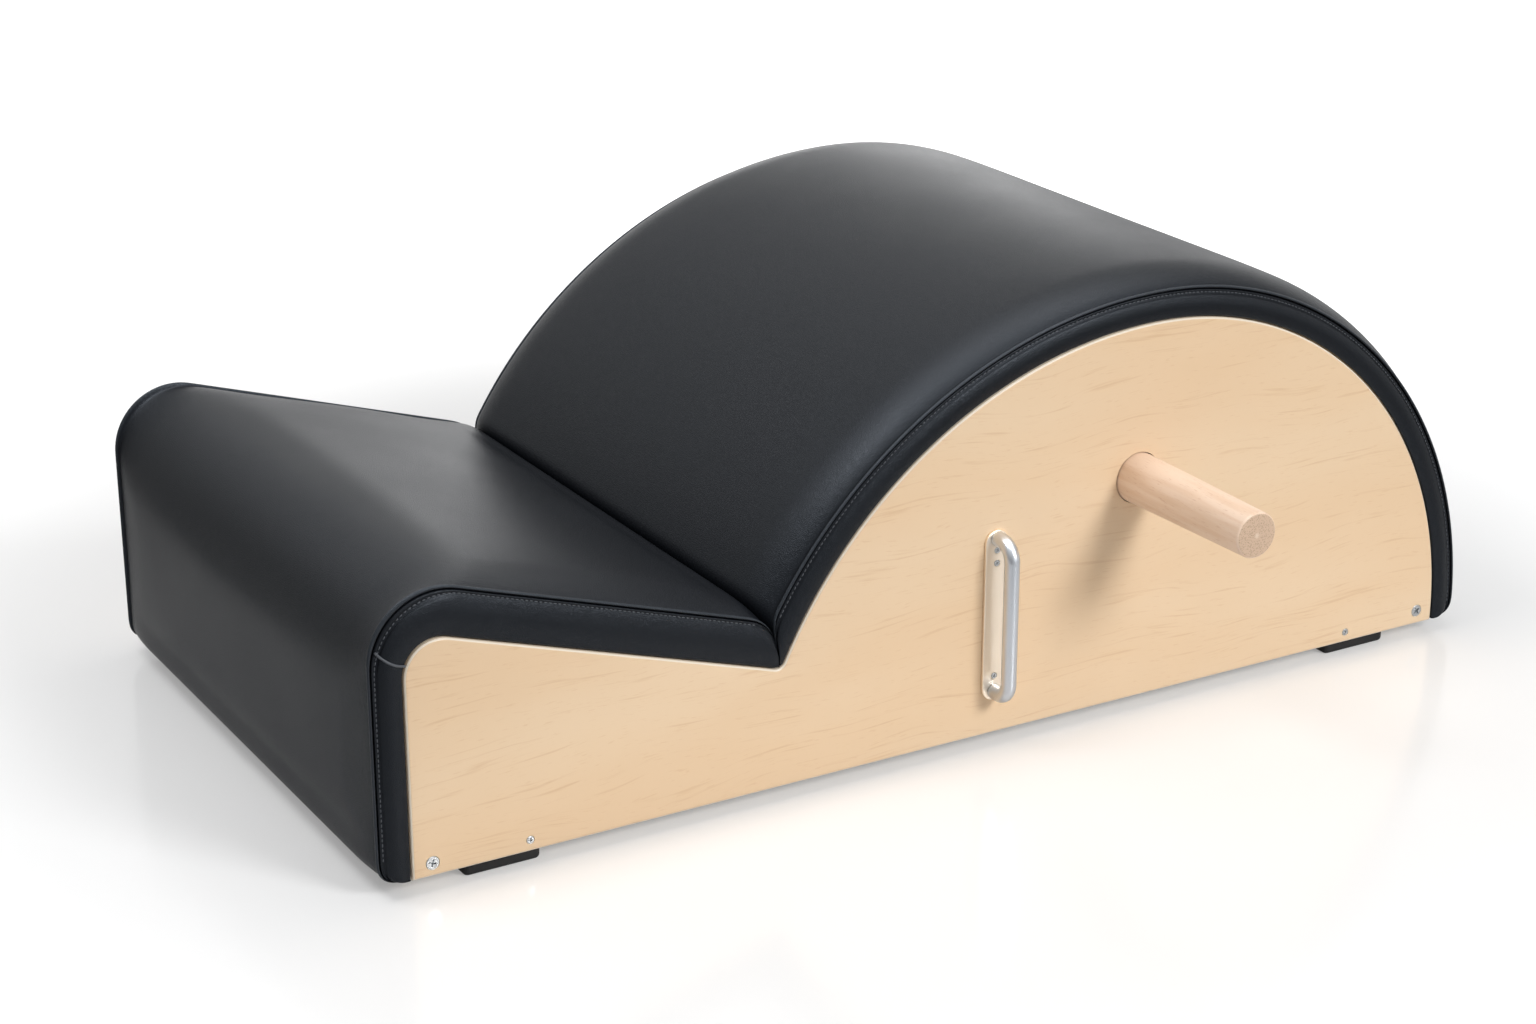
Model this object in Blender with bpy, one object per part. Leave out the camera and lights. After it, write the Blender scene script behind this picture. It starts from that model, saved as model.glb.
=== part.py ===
"""Spine corrector: a padded barrel and a sloping padded seat on a plywood frame.

Metres, +Z up. +X runs from the seat end to the barrel end and +Y to the left side. The origin
is under the middle of the object, on the surface that its feet stand on.

Side-view places are written (s, h): s runs along the side panel from its seat end, and h is
the height above the panel's lower edge.
"""

from dataclasses import dataclass, replace
from math import acos, asin, atan2, cos, pi, radians, sin, sqrt, tan

import bmesh
import bpy
from mathutils import Matrix, Vector

# Driving dimensions of the whole
PANEL_LENGTH = 0.840
BODY_WIDTH = 0.462
PANEL_THICKNESS = 0.018
FOOT_HEIGHT = 0.010
TOUCH_GAP = 0.0003

# Outline of the side panels
CROWN_S = 0.572
CROWN_HEIGHT = 0.278
SEAT_SIDE_RADIUS = 0.334
END_SIDE_RADIUS = PANEL_LENGTH - CROWN_S
SEAT_SLOPE = radians(17.44)
SEAT_LINE_HEIGHT = 0.1693
SEAT_CORNER_RADIUS = 0.024
VALLEY_FILLET = 0.007
PANEL_EDGE_ROUNDING = 0.0018

# Pads: how far the seam and the crown stand off the wood
BARREL_SEAM = 0.0200
BARREL_CROWN = 0.0350
SEAT_SEAM = 0.0310
SEAT_CROWN = 0.0400
SEAT_END_SEAM = 0.0210
SEAT_END_CROWN = 0.0270
SEAT_PAD_CORNER_RADIUS = 0.046
CROWN_ROLL = 0.040
CROWN_ROLL_SHARES = (0.06, 0.24, 0.54, 1.0)
SEAM_INSET = 0.0030
SEAM_SHOULDER = 0.0012
HEM_INSET = 0.0010
HEM_GAP = 0.0008
HEM_LINE_STEP = 0.0005
COVER_THICKNESS = 0.0012
FOAM_GAP = 0.0005
FOAM_CREASE_TRIM = 0.0016
HEM_END_MARGIN = 0.0005
CREASE_ROUNDING = 0.008
CREASE_FOOT_OFFSET = 0.0036
INSET_LIFT = 1.5
FLOOR_LIFT = 1.2
LARGEST_CREASE_SHARE = 0.6
LARGEST_ROUNDING_SHARE = 0.9
END_WALL_SHARE = 0.1
LOW_END_ROUNDING = 0.016
PAD_LOW_EDGE = 0.0010

# Plywood under the pads
SKIN_THICKNESS = 0.004
SKIN_SIDE_MARGIN = 0.0040
SKIN_END_MARGIN = 0.0030
SKIN_LOW_EDGE = 0.0050
GLUE_LINE = 0.0007

# Frame between the panels
RIB_THICKNESS = 0.015
BASE_BOARD_THICKNESS = 0.020
BASE_BOARD_WIDTH = 0.100
END_BOARD_THICKNESS = 0.018
END_BOARD_TOP = 0.132
STRINGER_DEPTH = 0.035
STRINGER_WIDTH = 0.028
STRINGER_RELIEF = 0.0002
SEAT_SIDE_STRINGER_ANGLE = radians(124)
END_SIDE_STRINGER_ANGLE = radians(44)
VALLEY_RAIL_HALF_WIDTH = 0.028
VALLEY_RAIL_BOTTOM = 0.046

# Grip pegs and their sockets
PEG_S = 0.5563
PEG_H = 0.1674
PEG_ROOT_RADIUS = 0.0180
PEG_END_RADIUS = 0.0163
PEG_REACH = 0.130
PEG_INSERTION = 0.080
PEG_END_ROUNDING = 0.002
PEG_STRAIGHT_ROOT = 0.004
BORE_RADIUS = 0.0187
SOCKET_BLOCK_SIZE = 0.070
SOCKET_BLOCK_CHAMFER = 0.004

# Carry handles
HANDLE_S = 0.4376
HANDLE_PLATE_LOW = 0.0265
HANDLE_PLATE_HIGH = 0.1520
HANDLE_PLATE_WIDTH = 0.0185
HANDLE_PLATE_THICKNESS = 0.0020
HANDLE_PLATE_ROUNDING = 0.0006
HANDLE_ROOT_LOW = 0.0330
HANDLE_ROOT_HIGH = 0.1460
HANDLE_STANDOFF = 0.0200
HANDLE_BAR_RADIUS = 0.0054
HANDLE_BEND_RADIUS = 0.0120
HANDLE_BAR_ROUNDNESS = 6
HANDLE_SCREW_PLACES = {
    "handle_screw_low": (HANDLE_S, 0.0445),
    "handle_screw_middle": (HANDLE_S, 0.1280),
    "handle_screw_high": (HANDLE_S, 0.1374),
}
HANDLE_SCREW_HEAD_RADIUS = 0.0022
HANDLE_SCREW_SHANK_RADIUS = 0.0012
HANDLE_SCREW_LENGTH = 0.014

# Screws that hold the panels to the base boards
LARGE_SCREW_PLACES = {"front_panel_screw": (0.0139, 0.0094), "rear_panel_screw": (0.8250, 0.0107)}
LARGE_SCREW_HEAD_RADIUS = 0.0045
LARGE_SCREW_SHANK_RADIUS = 0.0022
LARGE_SCREW_LENGTH = 0.040
SMALL_SCREW_PLACES = {"front_panel_pin": (0.0822, 0.0082), "rear_panel_pin": (0.7558, 0.0081)}
SMALL_SCREW_HEAD_RADIUS = 0.0026
SMALL_SCREW_SHANK_RADIUS = 0.0014
SMALL_SCREW_LENGTH = 0.032
SCREW_CLEARANCE = 0.0004
SCREW_RIM = 0.0003

# Feet
FOOT_SPANS = {"front": (0.038, 0.0925), "rear": (0.743, 0.799)}
FOOT_SIDE_INSET = 0.006
FOOT_WIDTH = 0.040
FOOT_CORNER_RADIUS = 0.004
FOOT_SOLE_ROUNDING = 0.0030
FOOT_RECESS_RADIUS = 0.0068
FOOT_RECESS_DEPTH = 0.005
FOOT_SCREW_HEAD_RADIUS = 0.0050
FOOT_SCREW_HEAD_HEIGHT = 0.0030
FOOT_SCREW_FLAT_SHARE = 0.6
FOOT_SCREW_SHANK_RADIUS = 0.0020
FOOT_SCREW_LENGTH = 0.018

# Facets
SEAT_SIDE_FACETS = 13
END_SIDE_FACETS = 18
WOOD_FACETS_PER_PAD_FACET = 2
PAD_CORNER_FACETS = 7
WOOD_CORNER_FACETS = 8
FILLET_FACETS = 5
HANDLE_END_FACETS = 12
HANDLE_BEND_FACETS = 6
ROUND_FACETS = 32
SCREW_FACETS = 12
CUTTER_OVERRUN = 0.002
JOINED = 1e-6
SMOOTH_ANGLE = radians(35)

# Worked out from the above
HALF_WIDTH = BODY_WIDTH / 2
INNER_HALF_WIDTH = HALF_WIDTH - PANEL_THICKNESS
PANEL_START = -(PANEL_LENGTH + BARREL_CROWN - SEAT_END_CROWN) / 2
SEAT_SIDE_CENTRE = Vector((CROWN_S, CROWN_HEIGHT - SEAT_SIDE_RADIUS))
END_SIDE_CENTRE = Vector((CROWN_S, CROWN_HEIGHT - END_SIDE_RADIUS))
SIDES = {"right": -1, "left": 1}


@dataclass(frozen=True)
class Finish:
    """A plain material: its colour as an sRGB hex value, roughness and metallic value."""

    name: str
    colour: str
    roughness: float
    metallic: float = 0.0


PANEL_PLY = Finish("panel_plywood", "E9C9A0", 0.45)
FRAME_PLY = Finish("frame_plywood", "D9BC93", 0.6)
PINE = Finish("pine_rail", "DDBE8C", 0.65)
BEECH = Finish("peg_beech", "F0D5BC", 0.45)
LEATHERETTE = Finish("black_leatherette", "2B2D2F", 0.4)
FOAM = Finish("pad_foam", "D8D2BE", 0.95)
SATIN_METAL = Finish("satin_bar", "B9BCC0", 0.3, 1.0)
NICKEL = Finish("nickel_plate", "D8CDBB", 0.35, 1.0)
RUBBER = Finish("foot_rubber", "151515", 0.7)


def clear_scene():
    """Removes whatever the opened file holds."""
    for obj in list(bpy.data.objects):
        bpy.data.objects.remove(obj, do_unlink=True)


def linear(channel):
    """One sRGB channel, 0 to 1, as a linear value."""
    return channel / 12.92 if channel <= 0.04045 else ((channel + 0.055) / 1.055) ** 2.4


def material(finish):
    """The Principled material of a finish, made once."""
    found = bpy.data.materials.get(finish.name)
    if found:
        return found
    made = bpy.data.materials.new(finish.name)
    made.use_nodes = True
    shader = made.node_tree.nodes["Principled BSDF"]
    channels = [int(finish.colour[i : i + 2], 16) / 255 for i in (0, 2, 4)]
    shader.inputs["Base Color"].default_value = (*[linear(c) for c in channels], 1.0)
    shader.inputs["Roughness"].default_value = finish.roughness
    shader.inputs["Metallic"].default_value = finish.metallic
    return made


def add_object(name, data, finish, parent=None, smooth_angle=None):
    """Links an object with its finish, under the frame's datum or another parent."""
    obj = bpy.data.objects.new(name, data)
    bpy.context.scene.collection.objects.link(obj)
    if not data.materials:
        data.materials.append(material(finish))
    obj.parent = parent
    if smooth_angle is not None:
        data.shade_smooth()
        data.set_sharp_from_angle(angle=smooth_angle)
    return obj


def mesh_from(name, builder):
    """A mesh from a bmesh, with its faces turned outwards."""
    bmesh.ops.recalc_face_normals(builder, faces=builder.faces)
    mesh = bpy.data.meshes.new(name)
    builder.to_mesh(mesh)
    builder.free()
    return mesh


# Side-view geometry


def arc(centre, radius, start, end, steps):
    """Points on an arc with both ends; angles count from +s towards +h."""
    angles = [start + (end - start) * i / steps for i in range(steps + 1)]
    return [centre + radius * Vector((cos(a), sin(a))) for a in angles]


def seat_line(s, offset=0.0):
    """The point at s on the seat's slope, moved out square to the slope by offset."""
    return Vector((s, SEAT_LINE_HEIGHT - tan(SEAT_SLOPE) * s + offset / cos(SEAT_SLOPE)))


def crossing(seat_offset, barrel_offset):
    """Where the seat's slope, moved out, meets the barrel's seat-side arc, moved out."""
    slope = tan(SEAT_SLOPE)
    rise = seat_line(0.0, seat_offset).y - SEAT_SIDE_CENTRE.y
    radius = SEAT_SIDE_RADIUS + barrel_offset
    a = 1 + slope**2
    b = -2 * (CROWN_S + slope * rise)
    c = CROWN_S**2 + rise**2 - radius**2
    return seat_line((-b - sqrt(b**2 - 4 * a * c)) / (2 * a), seat_offset)


def seat_side_angle(point):
    """The angle of a point about the centre of the barrel's seat-side arc."""
    return atan2(point.y - SEAT_SIDE_CENTRE.y, point.x - SEAT_SIDE_CENTRE.x)


FILLET_CENTRE = crossing(VALLEY_FILLET, VALLEY_FILLET)
FILLET_ANGLE = seat_side_angle(FILLET_CENTRE)
SLOPE_NORMAL = Vector((sin(SEAT_SLOPE), cos(SEAT_SLOPE)))
FILLET_ON_SLOPE = FILLET_CENTRE - VALLEY_FILLET * SLOPE_NORMAL


def barrel_arcs(offset, start, end, finer=1):
    """The barrel's curve moved out by offset, from an angle on its seat side to one past the crown."""
    seat_side_radius = SEAT_SIDE_RADIUS + offset
    end_side_radius = END_SIDE_RADIUS + offset
    seat_side = arc(SEAT_SIDE_CENTRE, seat_side_radius, start, pi / 2, SEAT_SIDE_FACETS * finer)
    end_side = arc(END_SIDE_CENTRE, end_side_radius, pi / 2, end, END_SIDE_FACETS * finer)
    return seat_side + end_side[1:]


def seat_corner(end_offset, top_offset, radius, steps):
    """The rounded corner between the seat end and the slope, both moved out."""
    s = radius - end_offset
    centre = seat_line(s, top_offset - radius)
    return arc(centre, radius, pi, pi / 2 - SEAT_SLOPE, steps)


def valley_fillet():
    """The small round in the valley, from the slope to the foot of the barrel."""
    return arc(FILLET_CENTRE, VALLEY_FILLET, -pi / 2 - SEAT_SLOPE, FILLET_ANGLE - pi, FILLET_FACETS)


def panel_outline():
    """The outline of a side panel, from its lower corner at the seat end and round over the top."""
    return [
        Vector((0.0, 0.0)),
        *seat_corner(0.0, 0.0, SEAT_CORNER_RADIUS, WOOD_CORNER_FACETS),
        *valley_fillet(),
        *barrel_arcs(0.0, FILLET_ANGLE, 0.0, WOOD_FACETS_PER_PAD_FACET)[1:],
        Vector((PANEL_LENGTH, 0.0)),
    ]


def extruded(outline, low_y, high_y):
    """A closed bmesh of a side-view outline, drawn out from low_y to high_y."""
    builder = bmesh.new()
    corners = [builder.verts.new((p.x, low_y, p.y)) for p in outline]
    face = builder.faces.new(corners)
    grown = bmesh.ops.extrude_face_region(builder, geom=[face])
    moved = [v for v in grown["geom"] if isinstance(v, bmesh.types.BMVert)]
    bmesh.ops.translate(builder, vec=(0, high_y - low_y, 0), verts=moved)
    return builder


def round_face_rim(builder, y, rounding, segments=2):
    """Rounds the rim of the flat face that lies at y."""
    rim = [e for e in builder.edges if all(abs(v.co.y - y) < JOINED for v in e.verts)]
    bmesh.ops.bevel(
        builder, geom=rim, offset=rounding, segments=segments, profile=0.5, affect="EDGES"
    )


def turned(profile, facets, axis_turn):
    """Adds a closed turned body to a bmesh: profile holds (radius, height) from axis to axis."""
    builder = bmesh.new()
    points = [builder.verts.new((radius, 0, height)) for radius, height in profile]
    edges = [builder.edges.new(pair) for pair in zip(points, points[1:])]
    bmesh.ops.spin(
        builder,
        geom=points + edges,
        cent=(0, 0, 0),
        axis=(0, 0, 1),
        angle=2 * pi,
        steps=facets,
        use_merge=True,
    )
    bmesh.ops.remove_doubles(builder, verts=builder.verts, dist=JOINED)
    bmesh.ops.transform(builder, matrix=axis_turn, verts=builder.verts)
    return builder


def outward_turn(side):
    """Turns a body made along +Z so that it points out of the given side."""
    return Matrix.Rotation(-side * pi / 2, 4, "X")


def append_body(target, body, place=(0, 0, 0)):
    """Moves a small bmesh to a place and copies it into a larger one."""
    bmesh.ops.translate(body, vec=place, verts=body.verts)
    copied = bpy.data.meshes.new("copied_body")
    body.to_mesh(copied)
    body.free()
    target.from_mesh(copied)
    bpy.data.meshes.remove(copied)


# Cutters


def add_cutter(name, builder, parent):
    """A hidden object that only cuts holes or notches."""
    cutter = bpy.data.objects.new(name, mesh_from(name, builder))
    bpy.context.scene.collection.objects.link(cutter)
    cutter.parent = parent
    cutter.hide_render = True
    cutter.display_type = "WIRE"
    return cutter


def cut(obj, cutter):
    """Takes the cutter's volume out of an object."""
    step = obj.modifiers.new(cutter.name, "BOOLEAN")
    step.operation = "DIFFERENCE"
    step.solver = "EXACT"
    step.object = cutter


def add_box(builder, low, high):
    """Adds a closed box between two corners."""
    size = Vector(high) - Vector(low)
    centre = (Vector(high) + Vector(low)) / 2
    matrix = Matrix.Translation(centre) @ Matrix.Diagonal((*size, 1.0))
    bmesh.ops.create_cube(builder, size=1.0, matrix=matrix)


# Pads


@dataclass(frozen=True)
class Layer:
    """A surface of a pad: its depth below the cover's outside, also in the crease, and its hem's height."""

    inset: float
    crease_inset: float
    floor: float


COVER_OUTSIDE = Layer(0.0, TOUCH_GAP, HEM_GAP)
COVER_INSIDE = Layer(COVER_THICKNESS, COVER_THICKNESS + TOUCH_GAP, HEM_GAP)
FOAM_OUTSIDE = Layer(
    COVER_THICKNESS + FOAM_GAP, COVER_THICKNESS + FOAM_CREASE_TRIM, TOUCH_GAP + SKIN_THICKNESS + GLUE_LINE
)


@dataclass(frozen=True)
class Column:
    """One line of a pad, seen from the side: its place across the pad and how far it stands out."""

    y: float
    barrel: float
    seat: float
    seat_end: float
    corner_radius: float
    is_hem: bool


def pad_column(y, seam_share, crown_share, layer):
    """A column that stands at a share of the seam's height, plus a share of the crown above the seam."""

    def standing(seam, crown):
        return max(seam * seam_share + (crown - seam) * crown_share - layer.inset, layer.floor)

    rounding = (SEAT_PAD_CORNER_RADIUS - SEAT_CORNER_RADIUS) * seam_share
    return Column(
        y=y,
        barrel=standing(BARREL_SEAM, BARREL_CROWN),
        seat=standing(SEAT_SEAM, SEAT_CROWN),
        seat_end=standing(SEAT_END_SEAM, SEAT_END_CROWN),
        corner_radius=SEAT_CORNER_RADIUS + rounding - layer.inset * seam_share,
        is_hem=seam_share == 0.0,
    )


def pad_columns(layer):
    """Columns from one hem of a pad to the other: hem, bulging side strip, drawn-in seam and crown."""
    half = [
        pad_column(HALF_WIDTH - HEM_INSET - layer.inset, 0.0, 0.0, layer),
        pad_column(HALF_WIDTH - layer.inset, 0.5, 0.0, layer),
        pad_column(HALF_WIDTH - SEAM_INSET - layer.inset, 1.0, 0.0, layer),
    ]
    crown_edge = HALF_WIDTH - SEAM_INSET + SEAM_SHOULDER - layer.inset
    for share in CROWN_ROLL_SHARES:
        half.append(pad_column(crown_edge - CROWN_ROLL * share, 1.0, 1 - (1 - share) ** 2, layer))
    mirrored = [replace(column, y=-column.y) for column in half]
    return mirrored + half[::-1]


def rounded_corner(start, corner, end, reach, steps=3):
    """Points that round the corner between two points, leaving each side at most reach before it."""
    back, on = start - corner, end - corner
    first = corner + back.normalized() * min(reach, back.length * LARGEST_ROUNDING_SHARE)
    last = corner + on.normalized() * min(reach, on.length * LARGEST_ROUNDING_SHARE)
    shares = [i / steps for i in range(steps + 1)]
    return [(1 - t) ** 2 * first + 2 * t * (1 - t) * corner + t**2 * last for t in shares]


def crease_wall(column, layer, side):
    """The low end and the corner of a pad's wall in the crease, on the given side of the crease."""
    corner = crossing(column.seat, column.barrel)
    start = crossing(CREASE_FOOT_OFFSET, CREASE_FOOT_OFFSET)
    lift = INSET_LIFT * layer.inset + FLOOR_LIFT * (layer.floor - HEM_GAP)
    aside = Vector((side * layer.crease_inset, 0))
    return start + (corner - start).normalized() * lift + aside, corner + aside


def end_reach(standing):
    """How far the rounding of a pad's low end reaches, on a column that stands out this far."""
    return min(LOW_END_ROUNDING, (standing - FOAM_OUTSIDE.floor) * LARGEST_ROUNDING_SHARE)


def barrel_column_points(column, layer):
    """Side-view points of one column of the barrel pad, from the crease to the low end."""
    low = PAD_LOW_EDGE + layer.inset
    foot_angle = FILLET_ANGLE - (HEM_END_MARGIN + layer.inset) / SEAT_SIDE_RADIUS
    foot = arc(SEAT_SIDE_CENTRE, SEAT_SIDE_RADIUS + layer.floor, foot_angle, foot_angle, 1)[0]
    end_foot = Vector((PANEL_LENGTH + layer.floor, low))
    end_radius = END_SIDE_RADIUS + column.barrel
    if column.is_hem:
        top = barrel_arcs(column.barrel, foot_angle, asin((low - END_SIDE_CENTRE.y) / end_radius))
        return [foot] * 5 + top + [end_foot] * 5
    wall_low, corner = crease_wall(column, layer, 1)
    crease_reach = min(CREASE_ROUNDING, column.barrel * LARGEST_CREASE_SHARE)
    start_angle = seat_side_angle(corner) - crease_reach / (SEAT_SIDE_RADIUS + column.barrel)
    reach = end_reach(column.barrel)
    top = barrel_arcs(column.barrel, start_angle, asin((low + reach - END_SIDE_CENTRE.y) / end_radius))
    crease = rounded_corner(wall_low, corner, top[0], crease_reach)
    end_corner = Vector((PANEL_LENGTH + column.barrel, low))
    end = rounded_corner(top[-1], end_corner, end_foot, reach)
    end_wall = end_foot.lerp(end_corner, END_WALL_SHARE)
    return [foot, wall_low, *crease[:-1], *top, *end[1:], end_wall, end_foot]


def seat_column_points(column, layer):
    """Side-view points of one column of the seat pad, from the crease to the low end."""
    low = PAD_LOW_EDGE + layer.inset
    foot = seat_line(FILLET_ON_SLOPE.x - HEM_END_MARGIN - layer.inset, layer.floor)
    end_foot = Vector((-layer.floor, low))
    top = seat_corner(column.seat_end, column.seat, column.corner_radius, PAD_CORNER_FACETS)[::-1]
    if column.is_hem:
        return [foot] * 6 + [foot.lerp(top[0], 0.5)] + top + [end_foot] * 6
    wall_low, corner = crease_wall(column, layer, -1)
    crease_reach = min(CREASE_ROUNDING, column.seat * LARGEST_CREASE_SHARE)
    crease = rounded_corner(wall_low, corner, top[0], crease_reach)
    middle = crease[-1].lerp(top[0], 0.5)
    end_corner = Vector((-column.seat_end, low))
    end = rounded_corner(top[-1], end_corner, end_foot, end_reach(column.seat_end))
    end_wall = end_foot.lerp(end_corner, END_WALL_SHARE)
    return [foot, wall_low, *crease, middle, *top, *end, end_wall, end_foot]


def pad_grid(builder, column_points, layer):
    """Rows of vertices over a pad; each row runs across it, from hem to hem.

    All columns meet on one line in the first and the last row, so there the bulge is held in.
    """
    columns = pad_columns(layer)
    widest = columns[-1].y - HEM_LINE_STEP
    held_in = [c.y if c.is_hem else max(-widest, min(widest, c.y)) for c in columns]
    rows = list(zip(*[column_points(column, layer) for column in columns]))
    across = [held_in] + [[c.y for c in columns]] * (len(rows) - 2) + [held_in]
    return [[builder.verts.new((p.x, y, p.y)) for p, y in zip(*line)] for line in zip(rows, across)]


def face_grid(builder, grid):
    """Quads between neighbouring rows."""
    for upper, lower in zip(grid, grid[1:]):
        for i in range(len(upper) - 1):
            builder.faces.new((upper[i], upper[i + 1], lower[i + 1], lower[i]))


def grid_border(grid):
    """The vertices round the edge of a grid, in order."""
    far_side = [row[-1] for row in grid[1:-1]]
    near_side = [row[0] for row in grid[1:-1]]
    return grid[0] + far_side + grid[-1][::-1] + near_side[::-1]


def finish_pad(builder):
    """Splits every quad along the same diagonal, so that a pad's surfaces nest, and joins its hem points."""
    bmesh.ops.triangulate(builder, faces=builder.faces, quad_method="FIXED", ngon_method="BEAUTY")
    bmesh.ops.remove_doubles(builder, verts=builder.verts, dist=JOINED)


def cover_mesh(name, column_points):
    """A cover: an outer and an inner surface, joined round the hem."""
    builder = bmesh.new()
    outer = pad_grid(builder, column_points, COVER_OUTSIDE)
    inner = pad_grid(builder, column_points, COVER_INSIDE)
    face_grid(builder, outer)
    face_grid(builder, inner)
    outer_rim = grid_border(outer)
    inner_rim = grid_border(inner)
    for i in range(len(outer_rim)):
        builder.faces.new((outer_rim[i - 1], outer_rim[i], inner_rim[i], inner_rim[i - 1]))
    finish_pad(builder)
    return mesh_from(name, builder)


def foam_mesh(name, column_points):
    """The padding inside a cover, down to the plywood skin."""
    builder = bmesh.new()
    grid = pad_grid(builder, column_points, FOAM_OUTSIDE)
    face_grid(builder, grid)
    ends = (grid[0][0].co, grid[-1][0].co)
    bottom = [row for row in grid if all((row[0].co - end).length > JOINED for end in ends)]
    builder.faces.new([*grid[0], bottom[0][-1], bottom[0][0]])
    for upper, lower in zip(bottom, bottom[1:]):
        builder.faces.new((upper[0], upper[-1], lower[-1], lower[0]))
    builder.faces.new([bottom[-1][0], bottom[-1][-1], *grid[-1][::-1]])
    finish_pad(builder)
    return mesh_from(name, builder)


def add_pads(datum):
    """The padding of the barrel and the seat, each with its cover."""
    for place, column_points in (("barrel", barrel_column_points), ("seat", seat_column_points)):
        foam = foam_mesh(f"{place}_foam", column_points)
        add_object(f"{place}_foam", foam, FOAM, datum, SMOOTH_ANGLE)
        cover = cover_mesh(f"{place}_cover", column_points)
        add_object(f"{place}_cover", cover, LEATHERETTE, datum, SMOOTH_ANGLE)


# Plywood skins


def barrel_skin_line(offset):
    """The barrel skin's curve, from just past the valley to just above the panels' low edge."""
    start = FILLET_ANGLE - SKIN_END_MARGIN / SEAT_SIDE_RADIUS
    end = asin((SKIN_LOW_EDGE - END_SIDE_CENTRE.y) / END_SIDE_RADIUS)
    return barrel_arcs(offset, start, end, WOOD_FACETS_PER_PAD_FACET)


def seat_skin_line(offset):
    """The seat skin's curve, from low on the seat end, round the corner and down the slope."""
    corner = seat_corner(offset, offset, SEAT_CORNER_RADIUS + offset, WOOD_CORNER_FACETS)
    slope_end = seat_line(FILLET_ON_SLOPE.x - SKIN_END_MARGIN, 0.0) + offset * SLOPE_NORMAL
    return [Vector((-offset, SKIN_LOW_EDGE)), *corner, slope_end]


def add_skins(datum):
    """The bent plywood that lies on the panels' upper edges, under the pads."""
    reach = HALF_WIDTH - SKIN_SIDE_MARGIN
    for name, line in (("barrel_skin", barrel_skin_line), ("seat_skin", seat_skin_line)):
        outline = line(TOUCH_GAP) + line(TOUCH_GAP + SKIN_THICKNESS)[::-1]
        skin = mesh_from(name, extruded(outline, -reach, reach))
        add_object(name, skin, FRAME_PLY, datum, SMOOTH_ANGLE)


# Side panels and the frame between them


def add_side_panel(side_name, datum, holes):
    """A plywood side panel, with its outer rim rounded and its holes cut."""
    side = SIDES[side_name]
    name = f"{side_name}_side_panel"
    faces_y = sorted((side * HALF_WIDTH, side * INNER_HALF_WIDTH))
    builder = extruded(panel_outline(), *faces_y)
    round_face_rim(builder, side * HALF_WIDTH, PANEL_EDGE_ROUNDING)
    panel = add_object(name, mesh_from(name, builder), PANEL_PLY, datum, SMOOTH_ANGLE)
    for cutter in holes:
        cut(panel, cutter)


def add_cross_piece(name, outline, finish, datum):
    """A board or rail of the given side-view outline that reaches from panel to panel."""
    reach = INNER_HALF_WIDTH - TOUCH_GAP
    return add_object(name, mesh_from(name, extruded(outline, -reach, reach)), finish, datum)


def rectangle(low_s, high_s, low_h, high_h):
    """A side-view rectangle."""
    return [Vector(p) for p in ((low_s, low_h), (high_s, low_h), (high_s, high_h), (low_s, high_h))]


def stringer_outline(centre, radius, angle, margin=0.0, proud=0.0):
    """A rail set square to the barrel's curve at an angle, just under the skin."""
    half = STRINGER_WIDTH / 2 + margin
    top = sqrt(radius**2 - (STRINGER_WIDTH / 2) ** 2) - STRINGER_RELIEF + proud
    bottom = top - proud - STRINGER_DEPTH - margin
    outward = Vector((cos(angle), sin(angle)))
    along = Vector((-sin(angle), cos(angle)))
    corners = ((bottom, -half), (bottom, half), (top, half), (top, -half))
    return [centre + outward * out + along * across for out, across in corners]


STRINGERS = {
    "seat_side_stringer": (SEAT_SIDE_CENTRE, SEAT_SIDE_RADIUS, SEAT_SIDE_STRINGER_ANGLE),
    "crown_stringer": (SEAT_SIDE_CENTRE, SEAT_SIDE_RADIUS, pi / 2),
    "end_side_stringer": (END_SIDE_CENTRE, END_SIDE_RADIUS, END_SIDE_STRINGER_ANGLE),
}


def valley_rail_outline():
    """The rail under the valley, whose top follows the slope, the fillet and the foot of the barrel."""
    valley = crossing(0.0, 0.0)
    low_s = valley.x - VALLEY_RAIL_HALF_WIDTH
    high_s = valley.x + VALLEY_RAIL_HALF_WIDTH
    barrel_end = acos((high_s - SEAT_SIDE_CENTRE.x) / SEAT_SIDE_RADIUS)
    return [
        Vector((low_s, VALLEY_RAIL_BOTTOM)),
        seat_line(low_s),
        *valley_fillet(),
        *arc(SEAT_SIDE_CENTRE, SEAT_SIDE_RADIUS, FILLET_ANGLE, barrel_end, 3)[1:],
        Vector((high_s, VALLEY_RAIL_BOTTOM)),
    ]


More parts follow.
